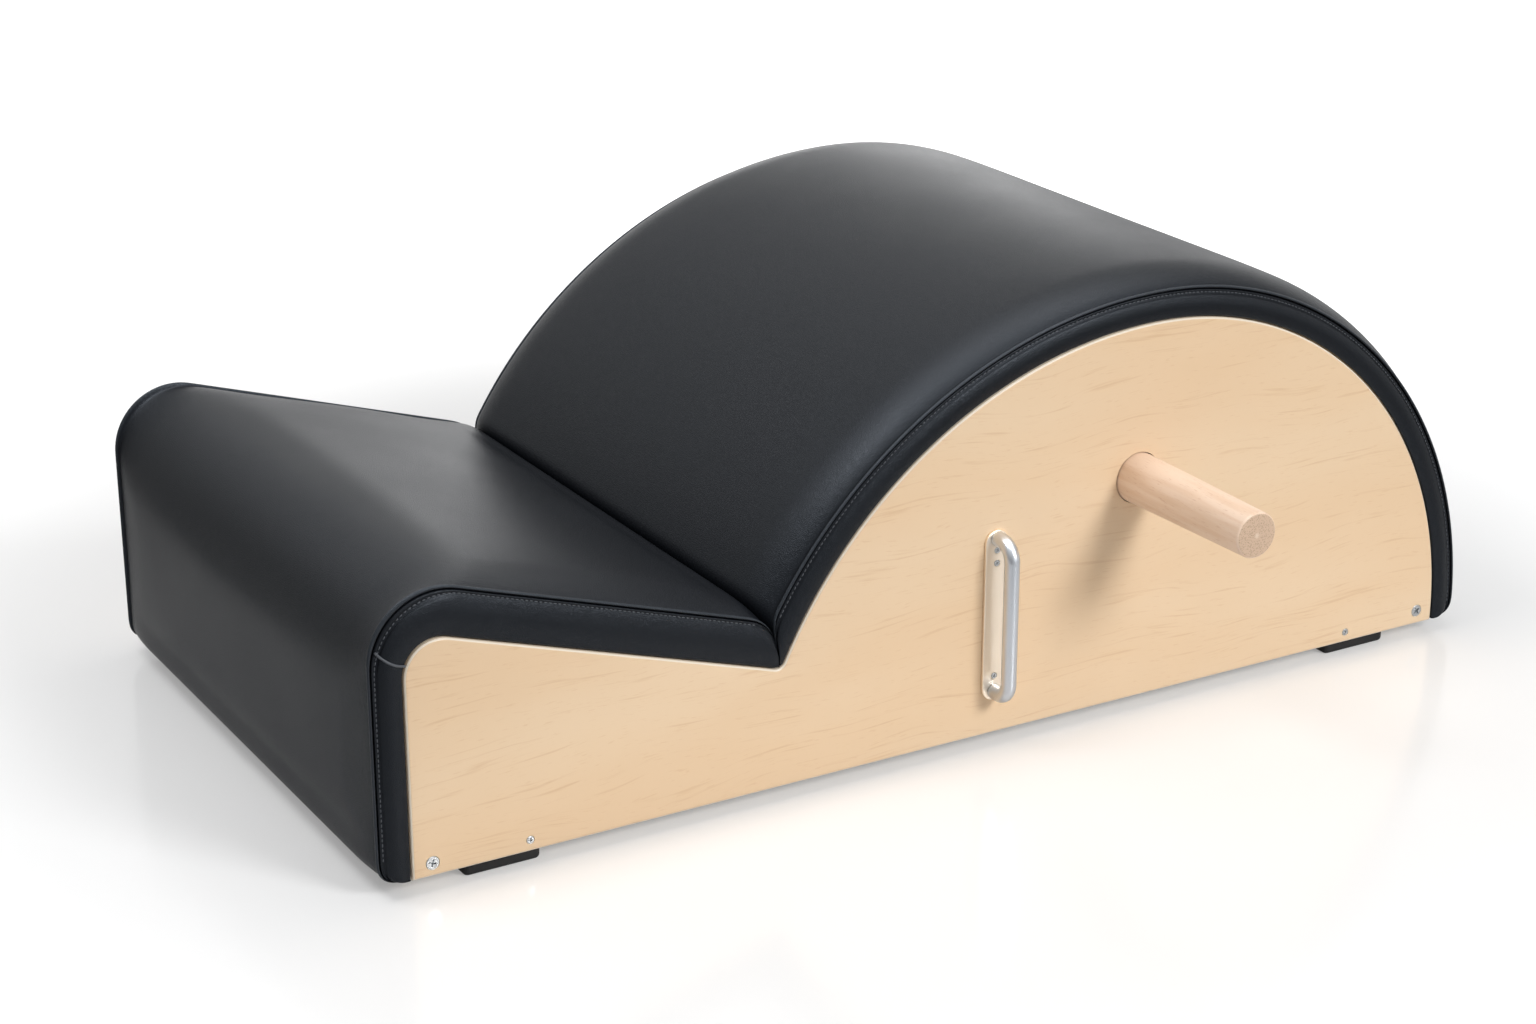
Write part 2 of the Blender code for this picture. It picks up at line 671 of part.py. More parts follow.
def notch_builder():
    """The room that the boards and rails need in the rib."""
    valley = crossing(0.0, 0.0)
    gap = TOUCH_GAP
    over = CUTTER_OVERRUN
    base_end = gap + BASE_BOARD_WIDTH + gap
    base_top = BASE_BOARD_THICKNESS + gap
    end_board_face = gap + END_BOARD_THICKNESS + gap
    end_board_top = END_BOARD_TOP + gap
    rail_reach = VALLEY_RAIL_HALF_WIDTH + gap
    above_rail = VALLEY_RAIL_BOTTOM + SEAT_LINE_HEIGHT
    front_notch = [
        Vector((-over, -over)),
        Vector((base_end, -over)),
        Vector((base_end, base_top)),
        Vector((end_board_face, base_top)),
        Vector((end_board_face, end_board_top)),
        Vector((-over, end_board_top)),
    ]
    outlines = [
        front_notch,
        rectangle(PANEL_LENGTH - base_end, PANEL_LENGTH + over, -over, base_top),
        rectangle(valley.x - rail_reach, valley.x + rail_reach, VALLEY_RAIL_BOTTOM - gap, above_rail),
    ]
    outlines += [stringer_outline(*place, margin=gap, proud=STRINGER_DEPTH) for place in STRINGERS.values()]
    builder = bmesh.new()
    for outline in outlines:
        append_body(builder, extruded(outline, -RIB_THICKNESS, RIB_THICKNESS))
    return builder


def add_frame(datum, screw_holes):
    """The rib, boards and rails between the side panels."""
    half_rib = RIB_THICKNESS / 2
    rib_mesh = mesh_from("centre_rib", extruded(panel_outline(), -half_rib, half_rib))
    rib = add_object("centre_rib", rib_mesh, FRAME_PLY, datum, SMOOTH_ANGLE)
    cut(rib, add_cutter("rib_notches", notch_builder(), datum))
    far_end = PANEL_LENGTH - TOUCH_GAP
    boards = {
        "front_base_board": (TOUCH_GAP, TOUCH_GAP + BASE_BOARD_WIDTH),
        "rear_base_board": (far_end - BASE_BOARD_WIDTH, far_end),
    }
    for name, (low_s, high_s) in boards.items():
        outline = rectangle(low_s, high_s, 0.0, BASE_BOARD_THICKNESS)
        board = add_cross_piece(name, outline, FRAME_PLY, datum)
        for cutter in screw_holes:
            cut(board, cutter)
    above_base = BASE_BOARD_THICKNESS + TOUCH_GAP
    end_board = rectangle(TOUCH_GAP, TOUCH_GAP + END_BOARD_THICKNESS, above_base, END_BOARD_TOP)
    add_cross_piece("seat_end_board", end_board, FRAME_PLY, datum)
    add_cross_piece("valley_rail", valley_rail_outline(), PINE, datum)
    for name, place in STRINGERS.items():
        add_cross_piece(name, stringer_outline(*place), PINE, datum)


# Grip pegs and sockets


def add_peg_bore(side_name, datum):
    """The cutter of a peg's bore, through the panel and into the socket block."""
    side = SIDES[side_name]
    depth = PEG_INSERTION + TOUCH_GAP
    profile = [(0, -depth), (BORE_RADIUS, -depth), (BORE_RADIUS, CUTTER_OVERRUN), (0, CUTTER_OVERRUN)]
    builder = turned(profile, ROUND_FACETS, outward_turn(side))
    bmesh.ops.translate(builder, vec=(PEG_S, side * HALF_WIDTH, PEG_H), verts=builder.verts)
    return add_cutter(f"{side_name}_peg_bore", builder, datum)


def add_socket_block(side_name, datum, bore):
    """The bored block on the inside of a panel that holds a peg."""
    side = SIDES[side_name]
    name = f"{side_name}_socket_block"
    half = SOCKET_BLOCK_SIZE / 2
    outline = rectangle(PEG_S - half, PEG_S + half, PEG_H - half, PEG_H + half)
    near = side * (INNER_HALF_WIDTH - TOUCH_GAP)
    far = near - side * SOCKET_BLOCK_SIZE
    builder = extruded(outline, *sorted((near, far)))
    round_face_rim(builder, far, SOCKET_BLOCK_CHAMFER, segments=1)
    block = add_object(name, mesh_from(name, builder), PINE, datum)
    cut(block, bore)


def add_peg(side_name, datum):
    """A turned peg, made along +Z with its origin where its axis meets the panel's face."""
    name = f"{side_name}_grip_peg"
    inner_edge = PEG_ROOT_RADIUS - PEG_END_ROUNDING / 2
    rounding_centre = Vector((PEG_END_RADIUS - PEG_END_ROUNDING, PEG_REACH - PEG_END_ROUNDING))
    rounding = arc(rounding_centre, PEG_END_ROUNDING, 0, pi / 2, 3)
    profile = [
        (0, -PEG_INSERTION),
        (inner_edge, -PEG_INSERTION),
        (PEG_ROOT_RADIUS, -PEG_INSERTION + PEG_END_ROUNDING / 2),
        (PEG_ROOT_RADIUS, PEG_STRAIGHT_ROOT),
        *rounding,
        (0, PEG_REACH),
    ]
    peg_mesh = mesh_from(name, turned(profile, ROUND_FACETS, Matrix.Identity(4)))
    peg = add_object(name, peg_mesh, BEECH, datum, SMOOTH_ANGLE)
    side = SIDES[side_name]
    peg.location = (PEG_S, side * HALF_WIDTH, PEG_H)
    peg.rotation_euler = outward_turn(side).to_euler()


# Carry handles


def plate_outline():
    """The back plate's outline, with round ends."""
    radius = HANDLE_PLATE_WIDTH / 2
    top = arc(Vector((HANDLE_S, HANDLE_PLATE_HIGH - radius)), radius, 0, pi, HANDLE_END_FACETS)
    bottom = arc(Vector((HANDLE_S, HANDLE_PLATE_LOW + radius)), radius, pi, 2 * pi, HANDLE_END_FACETS)
    return top + bottom


def add_handle_plate(side_name, datum, screw_holes):
    """The plate that the bar stands on, screwed to the panel's outer face."""
    side = SIDES[side_name]
    name = f"{side_name}_handle_plate"
    near = side * (HALF_WIDTH + TOUCH_GAP)
    far = near + side * HANDLE_PLATE_THICKNESS
    builder = extruded(plate_outline(), *sorted((near, far)))
    round_face_rim(builder, far, HANDLE_PLATE_ROUNDING)
    plate = add_object(name, mesh_from(name, builder), NICKEL, datum, SMOOTH_ANGLE)
    cut(plate, screw_holes)


def handle_path():
    """The bar's centre line as (out from the panel, h), from its low root round to its high root."""
    root = HANDLE_PLATE_THICKNESS + 2 * TOUCH_GAP
    bend = HANDLE_BEND_RADIUS
    low_bend = Vector((HANDLE_STANDOFF - bend, HANDLE_ROOT_LOW + bend))
    high_bend = Vector((HANDLE_STANDOFF - bend, HANDLE_ROOT_HIGH - bend))
    return [
        Vector((root, HANDLE_ROOT_LOW)),
        *arc(low_bend, bend, -pi / 2, 0, HANDLE_BEND_FACETS),
        *arc(high_bend, bend, 0, pi / 2, HANDLE_BEND_FACETS),
        Vector((root, HANDLE_ROOT_HIGH)),
    ]


def add_handle_bar(side_name, datum):
    """The bent round bar, as a curve with a round bevel and closed ends."""
    side = SIDES[side_name]
    name = f"{side_name}_handle_bar"
    curve = bpy.data.curves.new(name, "CURVE")
    curve.dimensions = "3D"
    curve.bevel_depth = HANDLE_BAR_RADIUS
    curve.bevel_resolution = HANDLE_BAR_ROUNDNESS
    curve.use_fill_caps = True
    path = handle_path()
    spline = curve.splines.new("POLY")
    spline.points.add(len(path) - 1)
    for point, place in zip(spline.points, path):
        point.co = (HANDLE_S, side * (HALF_WIDTH + place.x), place.y, 1.0)
    spline.use_smooth = True
    add_object(name, curve, SATIN_METAL, datum)


# Screws


@dataclass(frozen=True)
class Screw:
    """A kind of countersunk wood screw: its sizes, and the (s, h) place of each one by name."""

    head_radius: float
    shank_radius: float
    length: float
    places: dict

    def profile(self, clearance=0.0, overrun=0.0):
        """Half outline from the tip to the head's top, at 0; a hole's is wider by the clearance."""
        head = self.head_radius + clearance
        shank = self.shank_radius + clearance
        tip = -self.length - clearance
        neck = -(self.head_radius - self.shank_radius) - SCREW_RIM
        return [(0, tip), (shank, tip), (shank, neck), (head, -SCREW_RIM), (head, overrun), (0, overrun)]


LARGE_SCREW = Screw(
    LARGE_SCREW_HEAD_RADIUS, LARGE_SCREW_SHANK_RADIUS, LARGE_SCREW_LENGTH, LARGE_SCREW_PLACES
)
SMALL_SCREW = Screw(
    SMALL_SCREW_HEAD_RADIUS, SMALL_SCREW_SHANK_RADIUS, SMALL_SCREW_LENGTH, SMALL_SCREW_PLACES
)
HANDLE_SCREW = Screw(
    HANDLE_SCREW_HEAD_RADIUS, HANDLE_SCREW_SHANK_RADIUS, HANDLE_SCREW_LENGTH, HANDLE_SCREW_PLACES
)


def screw_mesh(screw, name):
    """The mesh that all screws of one kind share, made along +Z with its origin on the head."""
    found = bpy.data.meshes.get(name)
    return found or mesh_from(name, turned(screw.profile(), SCREW_FACETS, Matrix.Identity(4)))


def add_side_screws(side_name, datum, mesh_name, screw, face_y):
    """The screws of one kind in one side face."""
    side = SIDES[side_name]
    for place_name, (s, h) in screw.places.items():
        mesh = screw_mesh(screw, mesh_name)
        obj = add_object(f"{side_name}_{place_name}", mesh, NICKEL, datum, SMOOTH_ANGLE)
        obj.location = (s, side * face_y, h)
        obj.rotation_euler = outward_turn(side).to_euler()


def add_screw_holes(name, datum, side, screws, face_y):
    """The cutter of the holes of some screws in one side face."""
    builder = bmesh.new()
    for screw in screws:
        for s, h in screw.places.values():
            body = turned(screw.profile(SCREW_CLEARANCE, CUTTER_OVERRUN), SCREW_FACETS, outward_turn(side))
            append_body(builder, body, (s, side * face_y, h))
    return add_cutter(name, builder, datum)


# Feet


def foot_screw_profile():
    """Half outline of a foot's pan head screw, from tip to head; 0 is the floor of the foot's recess."""
    return [
        (0, FOOT_SCREW_LENGTH),
        (FOOT_SCREW_SHANK_RADIUS, FOOT_SCREW_LENGTH),
        (FOOT_SCREW_SHANK_RADIUS, -TOUCH_GAP),
        (FOOT_SCREW_HEAD_RADIUS, -TOUCH_GAP),
        (FOOT_SCREW_HEAD_RADIUS, -FOOT_SCREW_HEAD_HEIGHT * FOOT_SCREW_FLAT_SHARE),
        (FOOT_SCREW_HEAD_RADIUS * FOOT_SCREW_FLAT_SHARE, -FOOT_SCREW_HEAD_HEIGHT),
        (0, -FOOT_SCREW_HEAD_HEIGHT),
    ]


def foot_hole_profile():
    """Half outline of the hole for a foot's screw, down through the recess in the sole."""
    shank = FOOT_SCREW_SHANK_RADIUS + SCREW_CLEARANCE
    top = FOOT_SCREW_LENGTH + SCREW_CLEARANCE
    below = -FOOT_RECESS_DEPTH - CUTTER_OVERRUN
    recess = FOOT_RECESS_RADIUS
    return [(0, top), (shank, top), (shank, 0), (recess, 0), (recess, below), (0, below)]


def foot_places():
    """Each foot's name with the s and y of its middle and its length."""
    places = {}
    for end, (low_s, high_s) in FOOT_SPANS.items():
        for side_name, side in SIDES.items():
            y = side * (HALF_WIDTH - FOOT_SIDE_INSET - FOOT_WIDTH / 2)
            places[f"{end}_{side_name}_foot"] = ((low_s + high_s) / 2, y, high_s - low_s)
    return places


def foot_builder(s, y, length):
    """A rubber block with rounded upright edges and a rounded sole."""
    builder = bmesh.new()
    low = (s - length / 2, y - FOOT_WIDTH / 2, -FOOT_HEIGHT)
    high = (s + length / 2, y + FOOT_WIDTH / 2, -TOUCH_GAP)
    add_box(builder, low, high)
    upright = [e for e in builder.edges if abs(e.verts[0].co.z - e.verts[1].co.z) > FOOT_HEIGHT / 2]
    bmesh.ops.bevel(
        builder, geom=upright, offset=FOOT_CORNER_RADIUS, segments=3, profile=0.5, affect="EDGES"
    )
    sole = [e for e in builder.edges if all(v.co.z < -FOOT_HEIGHT + JOINED for v in e.verts)]
    bmesh.ops.bevel(
        builder, geom=sole, offset=FOOT_SOLE_ROUNDING, segments=2, profile=0.5, affect="EDGES"
    )
    return builder


def add_feet(datum):
    """The rubber feet, their screws, and the cutter of the screws' holes."""
    recess_floor = -FOOT_HEIGHT + FOOT_RECESS_DEPTH
    holes = bmesh.new()
    for s, y, _ in foot_places().values():
        hole = turned(foot_hole_profile(), SCREW_FACETS, Matrix.Identity(4))
        append_body(holes, hole, (s, y, recess_floor))
    cutter = add_cutter("foot_screw_holes", holes, datum)
    screw = mesh_from("foot_screw", turned(foot_screw_profile(), SCREW_FACETS, Matrix.Identity(4)))
    for name, (s, y, length) in foot_places().items():
        block = mesh_from(name, foot_builder(s, y, length))
        foot = add_object(name, block, RUBBER, datum, SMOOTH_ANGLE)
        cut(foot, cutter)
        fixing = add_object(f"{name}_screw", screw, NICKEL, datum, SMOOTH_ANGLE)
        fixing.location = (s, y, recess_floor)
    return cutter


def main():
    """Builds the whole object under one datum, at the seat end's lower corner of the panels."""
    clear_scene()
    datum = bpy.data.objects.new("frame_datum", None)
    datum.location = (PANEL_START, 0, FOOT_HEIGHT)
    bpy.context.scene.collection.objects.link(datum)
    board_holes = [add_feet(datum)]
    plate_face = HALF_WIDTH + TOUCH_GAP + HANDLE_PLATE_THICKNESS
    for side_name in SIDES:
        bore = add_peg_bore(side_name, datum)
        side = SIDES[side_name]
        panel_screws = (LARGE_SCREW, SMALL_SCREW)
        panel_holes = add_screw_holes(f"{side_name}_panel_holes", datum, side, panel_screws, HALF_WIDTH)
        handle_holes = add_screw_holes(f"{side_name}_handle_holes", datum, side, (HANDLE_SCREW,), plate_face)
        add_side_screws(side_name, datum, "large_screw", LARGE_SCREW, HALF_WIDTH)
        add_side_screws(side_name, datum, "small_screw", SMALL_SCREW, HALF_WIDTH)
        add_side_screws(side_name, datum, "handle_screw", HANDLE_SCREW, plate_face)
        board_holes.append(panel_holes)
        add_side_panel(side_name, datum, (bore, panel_holes, handle_holes))
        add_socket_block(side_name, datum, bore)
        add_peg(side_name, datum)
        add_handle_plate(side_name, datum, handle_holes)
        add_handle_bar(side_name, datum)
    add_frame(datum, board_holes)
    add_skins(datum)
    add_pads(datum)


main()
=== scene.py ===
"""The looks of a spine corrector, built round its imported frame.

Metres, in the frame's axes: +X from the seat end to the barrel end, +Y to the left side and +Z up
from the soles of the feet. Side-view places are written (s, h): s runs along a side panel from its
seat end, and h is the height above the panel's lower edge.
"""

import logging
from collections.abc import Sequence
from dataclasses import dataclass, replace
from enum import Enum
from functools import cache
from math import asin, atan2, cos, exp, pi, radians, sin, sqrt, tan
from typing import ClassVar

import bmesh
import bpy
import numpy as np
from bpy.types import Material, Mesh, Node, NodeSocket, NodeTree, Object
from mathutils import Matrix, Vector

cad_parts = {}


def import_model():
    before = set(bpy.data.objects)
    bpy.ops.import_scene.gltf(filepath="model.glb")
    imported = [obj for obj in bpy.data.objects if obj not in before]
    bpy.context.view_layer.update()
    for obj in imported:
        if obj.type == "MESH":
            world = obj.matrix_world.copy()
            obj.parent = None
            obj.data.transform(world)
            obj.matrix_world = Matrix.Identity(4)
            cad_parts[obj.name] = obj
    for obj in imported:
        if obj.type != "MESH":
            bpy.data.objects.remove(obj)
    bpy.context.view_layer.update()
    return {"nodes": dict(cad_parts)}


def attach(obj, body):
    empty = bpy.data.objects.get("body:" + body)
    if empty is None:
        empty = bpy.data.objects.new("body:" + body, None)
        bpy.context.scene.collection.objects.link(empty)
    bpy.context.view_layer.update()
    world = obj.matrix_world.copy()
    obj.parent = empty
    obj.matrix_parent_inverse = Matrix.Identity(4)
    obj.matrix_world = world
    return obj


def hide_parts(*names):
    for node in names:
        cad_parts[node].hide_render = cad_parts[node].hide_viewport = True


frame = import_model()

LOG = logging.getLogger("spine_corrector")
BODY = "frame"
HALF_WIDTH = 0.231
PANEL_THICKNESS = 0.018
FOOT_HEIGHT = 0.010
PANEL_START = -0.424
TOUCH_GAP = 0.0003
CUT_OVERRUN = 0.002
ROUND_FACETS = 32
SMOOTH_ANGLE = radians(35)
MERGE_DISTANCE = 1e-6

WHITE = (1.0, 1.0, 1.0, 1.0)
MULTIPLY = {"operation": "MULTIPLY"}
MULTIPLY_ADD = {"operation": "MULTIPLY_ADD"}
FLOATS = {"data_type": "FLOAT"}
COLOURS = {"data_type": "RGBA"}

BMesh = bmesh.types.BMesh
Place = tuple[float, float, float]
Profile = list[tuple[float, float]]


class Side(Enum):
    """A side of the object, with the sign of its Y."""

    RIGHT = -1
    LEFT = 1

    @property
    def word(self) -> str:
        """The side's name, as the CAD nodes begin."""
        return self.name.lower()


def linear(hex_colour: str) -> tuple[float, float, float, float]:
    """Turns an sRGB colour to linear light.

    Args:
        hex_colour: The colour as six hex digits.

    Returns:
        The linear RGBA values.
    """
    channels = [int(hex_colour[i : i + 2], 16) / 255 for i in (0, 2, 4)]
    red, green, blue = (c / 12.92 if c <= 0.04045 else ((c + 0.055) / 1.055) ** 2.4 for c in channels)
    return red, green, blue, 1.0


def world(s: float, y: float, h: float) -> Place:
    """Turns a side-view place and its y to a point of the frame."""
    return s + PANEL_START, y, h + FOOT_HEIGHT


# Node trees


def add_node(
    tree: NodeTree,
    kind: str,
    inputs: dict[str | int, object] | None = None,
    settings: dict[str, object] | None = None,
) -> Node:
    """Adds a node with its settings and links.

    Args:
        tree: The shader or geometry tree.
        kind: The node's type name.
        inputs: For a socket's name or index, a value or the output socket that feeds it.
        settings: Values of the node's own attributes.

    Returns:
        The new node.
    """
    node = tree.nodes.new(kind)
    for name, value in (settings or {}).items():
        setattr(node, name, value)
    for socket, value in (inputs or {}).items():
        if isinstance(value, NodeSocket):
            tree.links.new(value, node.inputs[socket])
        else:
            node.inputs[socket].default_value = value
    return node


def eased(
    tree: NodeTree, value: NodeSocket, low: float, high: float, start: float = 0.0, end: float = 1.0
) -> NodeSocket:
    """Follows a value smoothly from one level to another.

    Args:
        tree: The shader tree.
        value: The value that is followed.
        low: Where the result leaves start.
        high: Where the result reaches end.
        start: The first level.
        end: The second level.

    Returns:
        The level.
    """
    inputs = {"Value": value, "From Min": low, "From Max": high, "To Min": start, "To Max": end}
    smooth = {"interpolation_type": "SMOOTHSTEP"}
    return add_node(tree, "ShaderNodeMapRange", inputs, smooth).outputs["Result"]


@dataclass(frozen=True)
class Pattern:
    """A material's tree and shader, with the steps that the finishes' patterns are made of."""

    tree: NodeTree
    shader: Node

    def texture(
        self,
        kind: str,
        sizes: Sequence[float],
        inputs: dict[str, object] | None = None,
        settings: dict[str, object] | None = None,
        place: NodeSocket | None = None,
    ) -> Node:
        """Lays a texture in its real size.

        Args:
            kind: The texture's type, as its node's name ends.
            sizes: The size of the pattern's unit along each axis, in metres.
            inputs: The texture's own values.
            settings: Values of the node's attributes.
            place: Where the pattern is read, or None for the object's own coordinates.

        Returns:
            The texture's node.
        """
        start = place or add_node(self.tree, "ShaderNodeTexCoord").outputs["Object"]
        scale = tuple(1 / size for size in sizes)
        laid = add_node(self.tree, "ShaderNodeMapping", {"Vector": start, "Scale": scale}).outputs[0]
        values = {"Vector": laid, "Scale": 1.0, **(inputs or {})}
        return add_node(self.tree, f"ShaderNodeTex{kind}", values, settings)

    def noise(self, *sizes: float, detail: float = 2.0, place: NodeSocket | None = None) -> NodeSocket:
        """Returns a soft noise whose unit has one size in metres, or one along each axis."""
        spans = sizes * 3 if len(sizes) == 1 else sizes
        return self.texture("Noise", spans, {"Detail": detail}, place=place).outputs["Fac"]

    def between(
        self, share: NodeSocket, plain: str | NodeSocket, marked: str, strength: float
    ) -> NodeSocket:
        """Goes from one colour to another by a share.

        Args:
            share: The share.
            plain: The first colour.
            marked: The second colour.
            strength: How far the whole share reaches the second colour.

        Returns:
            The colour.
        """
        strong = add_node(self.tree, "ShaderNodeMath", {0: share, 1: strength}, MULTIPLY).outputs[0]
        start = linear(plain) if isinstance(plain, str) else plain
        tones = {0: strong, 6: start, 7: linear(marked)}
        return add_node(self.tree, "ShaderNodeMix", tones, COLOURS).outputs[2]

    def marks(
        self,
        value: NodeSocket,
        low: float,
        high: float,
        plain: str | NodeSocket,
        marked: str,
        strength: float,
    ) -> NodeSocket:
        """Marks a colour where a value is past high, eased from low."""
        return self.between(eased(self.tree, value, low, high), plain, marked, strength)

    def paint(self, tone: NodeSocket) -> None:
        """Gives the shader its colour."""
        self.tree.links.new(tone, self.shader.inputs["Base Color"])

    def roughen(self, height: NodeSocket, depth: float) -> None:
        """Gives the shader a bump of the given depth in metres."""
        bump = add_node(self.tree, "ShaderNodeBump", {"Height": height, "Distance": depth})
        self.tree.links.new(bump.outputs["Normal"], self.shader.inputs["Normal"])

    def vary_roughness(self, value: NodeSocket, plain: float, spread: float) -> None:
        """Lets the roughness wander.

        Args:
            value: What it follows.
            plain: Its plain value.
            spread: How far it goes to each side.
        """
        levels = {"Value": value, "To Min": plain - spread, "To Max": plain + spread}
        varied = add_node(self.tree, "ShaderNodeMapRange", levels).outputs["Result"]
        self.tree.links.new(varied, self.shader.inputs["Roughness"])


# Finishes


@dataclass(frozen=True)
class Finish:
    """A material that is made on first use: its name, main colour and plain shader values."""

    name: str
    colour: str
    roughness: float
    metallic: float = 0.0

    def material(self) -> Material:
        """Finds the finish's material, or makes it.

        Returns:
            The material.
        """
        found = bpy.data.materials.get(self.name)
        if found:
            return found
        made = bpy.data.materials.new(self.name)
        made.use_nodes = True
        shader = made.node_tree.nodes["Principled BSDF"]
        shader.inputs["Base Color"].default_value = linear(self.colour)
        shader.inputs["Roughness"].default_value = self.roughness
        shader.inputs["Metallic"].default_value = self.metallic
        self.detail(Pattern(made.node_tree, shader))
        return made

    def detail(self, pattern: Pattern) -> None:
        """Adds the finish's own pattern."""
        raise NotImplementedError


@dataclass(frozen=True)
class Leatherette(Finish):
    """Vinyl-coated upholstery cloth, embossed: a soft sheen broken by a fine pebbled grain.

    The grain is drawn at 1.1 mm, about twice the real size, so that it shows in the render.
    """

    name: str = "embossed_black_leatherette"
    colour: str = "101216"
    roughness: float = 0.33
    roughness_spread: float = 0.05
    specular_level: float = 0.25
    specular_tint: str = "E6F1FF"
    grain_size: float = 0.0011
    grain_depth: float = 0.00006
    grain_rounding: float = 0.28
    crease_size: float = 0.004
    crease_depth: float = 0.00016
    sheen_size: float = 0.09
    # The fold's paler colour is a painted highlight along the folded edge.
    rubbed_colour: str = "31353A"
    rubbed_strength: float = 0.9
    SEAM_ATTRIBUTE: ClassVar[str] = "seam_closeness"
    FOLD_ATTRIBUTE: ClassVar[str] = "fold_edge"

    def detail(self, pattern: Pattern) -> None:
        """Adds pebbled cells, pull creases near the seams, a painted highlight that makes the folds paler,
        and a wandering sheen.

        Args:
            pattern: The material's tree and shader.
        """
        tree, shader = pattern.tree, pattern.shader
        shader.inputs["Specular IOR Level"].default_value = self.specular_level
        shader.inputs["Specular Tint"].default_value = linear(self.specular_tint)
        cells = pattern.texture("Voronoi", (self.grain_size,) * 3, settings={"feature": "DISTANCE_TO_EDGE"})
        cell_tops = eased(tree, cells.outputs["Distance"], 0.0, self.grain_rounding)
        near_seam, fold = (
            add_node(tree, "ShaderNodeAttribute", settings={"attribute_name": name}).outputs["Fac"]
            for name in (self.SEAM_ATTRIBUTE, self.FOLD_ATTRIBUTE)
        )
        pulls = {0: pattern.noise(self.crease_size, detail=3.0), 1: near_seam}
        pull_height = add_node(tree, "ShaderNodeMath", pulls, MULTIPLY).outputs[0]
        heights = {0: pull_height, 1: self.crease_depth / self.grain_depth, 2: cell_tops}
        pattern.roughen(add_node(tree, "ShaderNodeMath", heights, MULTIPLY_ADD).outputs[0], self.grain_depth)
        # Paints the folds paler: a painted highlight along the fold's edge.
        pattern.paint(pattern.between(fold, self.colour, self.rubbed_colour, self.rubbed_strength))
        pattern.vary_roughness(pattern.noise(self.sheen_size), self.roughness, self.roughness_spread)


@dataclass(frozen=True)
class SewingThread(Finish):
    """Bonded black polyester thread, twisted: matt with a slight silky edge, coloured grey as a painted
    highlight.
    """

    name: str = "black_sewing_thread"
    # Grey rather than black: the thread's highlight painted into its colour.
    colour: str = "4A4E54"
    roughness: float = 0.4
    twist: float = 0.0004
    twist_depth: float = 0.00008

    def detail(self, pattern: Pattern) -> None:
        """Adds a fine twist."""
        pattern.roughen(pattern.noise(self.twist), self.twist_depth)


@dataclass(frozen=True)
class MapleVeneer(Finish):
    """Maple-faced plywood, sliced veneer under clear satin lacquer: pale, with thin wavy strokes."""

    name: str = "maple_veneer"
    colour: str = "ECCDA8"
    roughness: float = 0.42
    roughness_spread: float = 0.05
    pale_colour: str = "F0D6B5"
    stroke_colour: str = "CFA274"
    fleck_colour: str = "D8AE82"
    wave_sizes: Place = (0.22, 1.0, 0.09)
    wave_height: float = 0.045
    cloud_sizes: Place = (0.3, 1.0, 0.07)
    stroke_sizes: Place = (0.055, 0.5, 0.0026)
    fleck_sizes: Place = (0.010, 0.5, 0.0009)
    fleck_depth: float = 0.00003

    def detail(self, pattern: Pattern) -> None:
        """Adds broad pale clouds, strokes that wander along X, and short flecks.

        Args:
            pattern: The material's tree and shader.
        """
        tree = pattern.tree
        here = add_node(tree, "ShaderNodeTexCoord").outputs["Object"]
        drift = pattern.texture("Noise", self.wave_sizes, {"Detail": 2.0}).outputs["Color"]
        halved = {0: drift, 1: (0.5, 0.5, 0.5)}
        centred = add_node(tree, "ShaderNodeVectorMath", halved, {"operation": "SUBTRACT"}).outputs[0]
        waves = {0: centred, 1: (0.0, 0.0, self.wave_height), 2: here}
        warped = add_node(tree, "ShaderNodeVectorMath", waves, MULTIPLY_ADD).outputs[0]
        clouds = pattern.noise(*self.cloud_sizes, place=warped)
        strokes = pattern.noise(*self.stroke_sizes, detail=2.5, place=warped)
        flecks = pattern.noise(*self.fleck_sizes, detail=1.0, place=warped)
        tone = pattern.marks(clouds, 0.35, 0.7, self.colour, self.pale_colour, 0.6)
        tone = pattern.marks(strokes, 0.58, 0.76, tone, self.stroke_colour, 0.34)
        pattern.paint(pattern.marks(flecks, 0.64, 0.78, tone, self.fleck_colour, 0.3))
        pattern.vary_roughness(clouds, self.roughness, self.roughness_spread)
        pattern.roughen(flecks, self.fleck_depth)


@dataclass(frozen=True)
class PlyEdge(Finish):
    """The sawn and sanded edge of plywood: thin pale and brown plies laid along the thickness. Its pale main
    colour is partly the edge wood's own and partly a painted highlight on the panel's rounded rim.

    The texture's own wave is pi / 10 of a unit long, so at this scale the plies repeat in 1.4 mm.
    """

    name: str = "plywood_edge"
    # Paler than the edge wood: partly its own colour, partly a painted highlight on the rounded rim.
    colour: str = "FFF2DE"
    roughness: float = 0.32
    ply_colour: str = "D9B68C"
    ply_thickness: float = 0.0018
    ply_depth: float = 0.00005
    wave_scale: float = 2.5 / pi
    wander_size: float = 0.05
    wander: float = 0.6

    def detail(self, pattern: Pattern) -> None:
        """Adds plies along Y, which is across the thickness of a side panel.

        Args:
            pattern: The material's tree and shader.
        """
        sizes = (self.wander_size, self.ply_thickness * 2, self.wander_size)
        waves = {"Scale": self.wave_scale, "Distortion": self.wander, "Detail": 2.0}
        plies = pattern.texture("Wave", sizes, waves, {"bands_direction": "Y"}).outputs["Fac"]
        pattern.paint(pattern.marks(plies, 0.55, 0.9, self.colour, self.ply_colour, 0.55))
        pattern.roughen(plies, self.ply_depth)


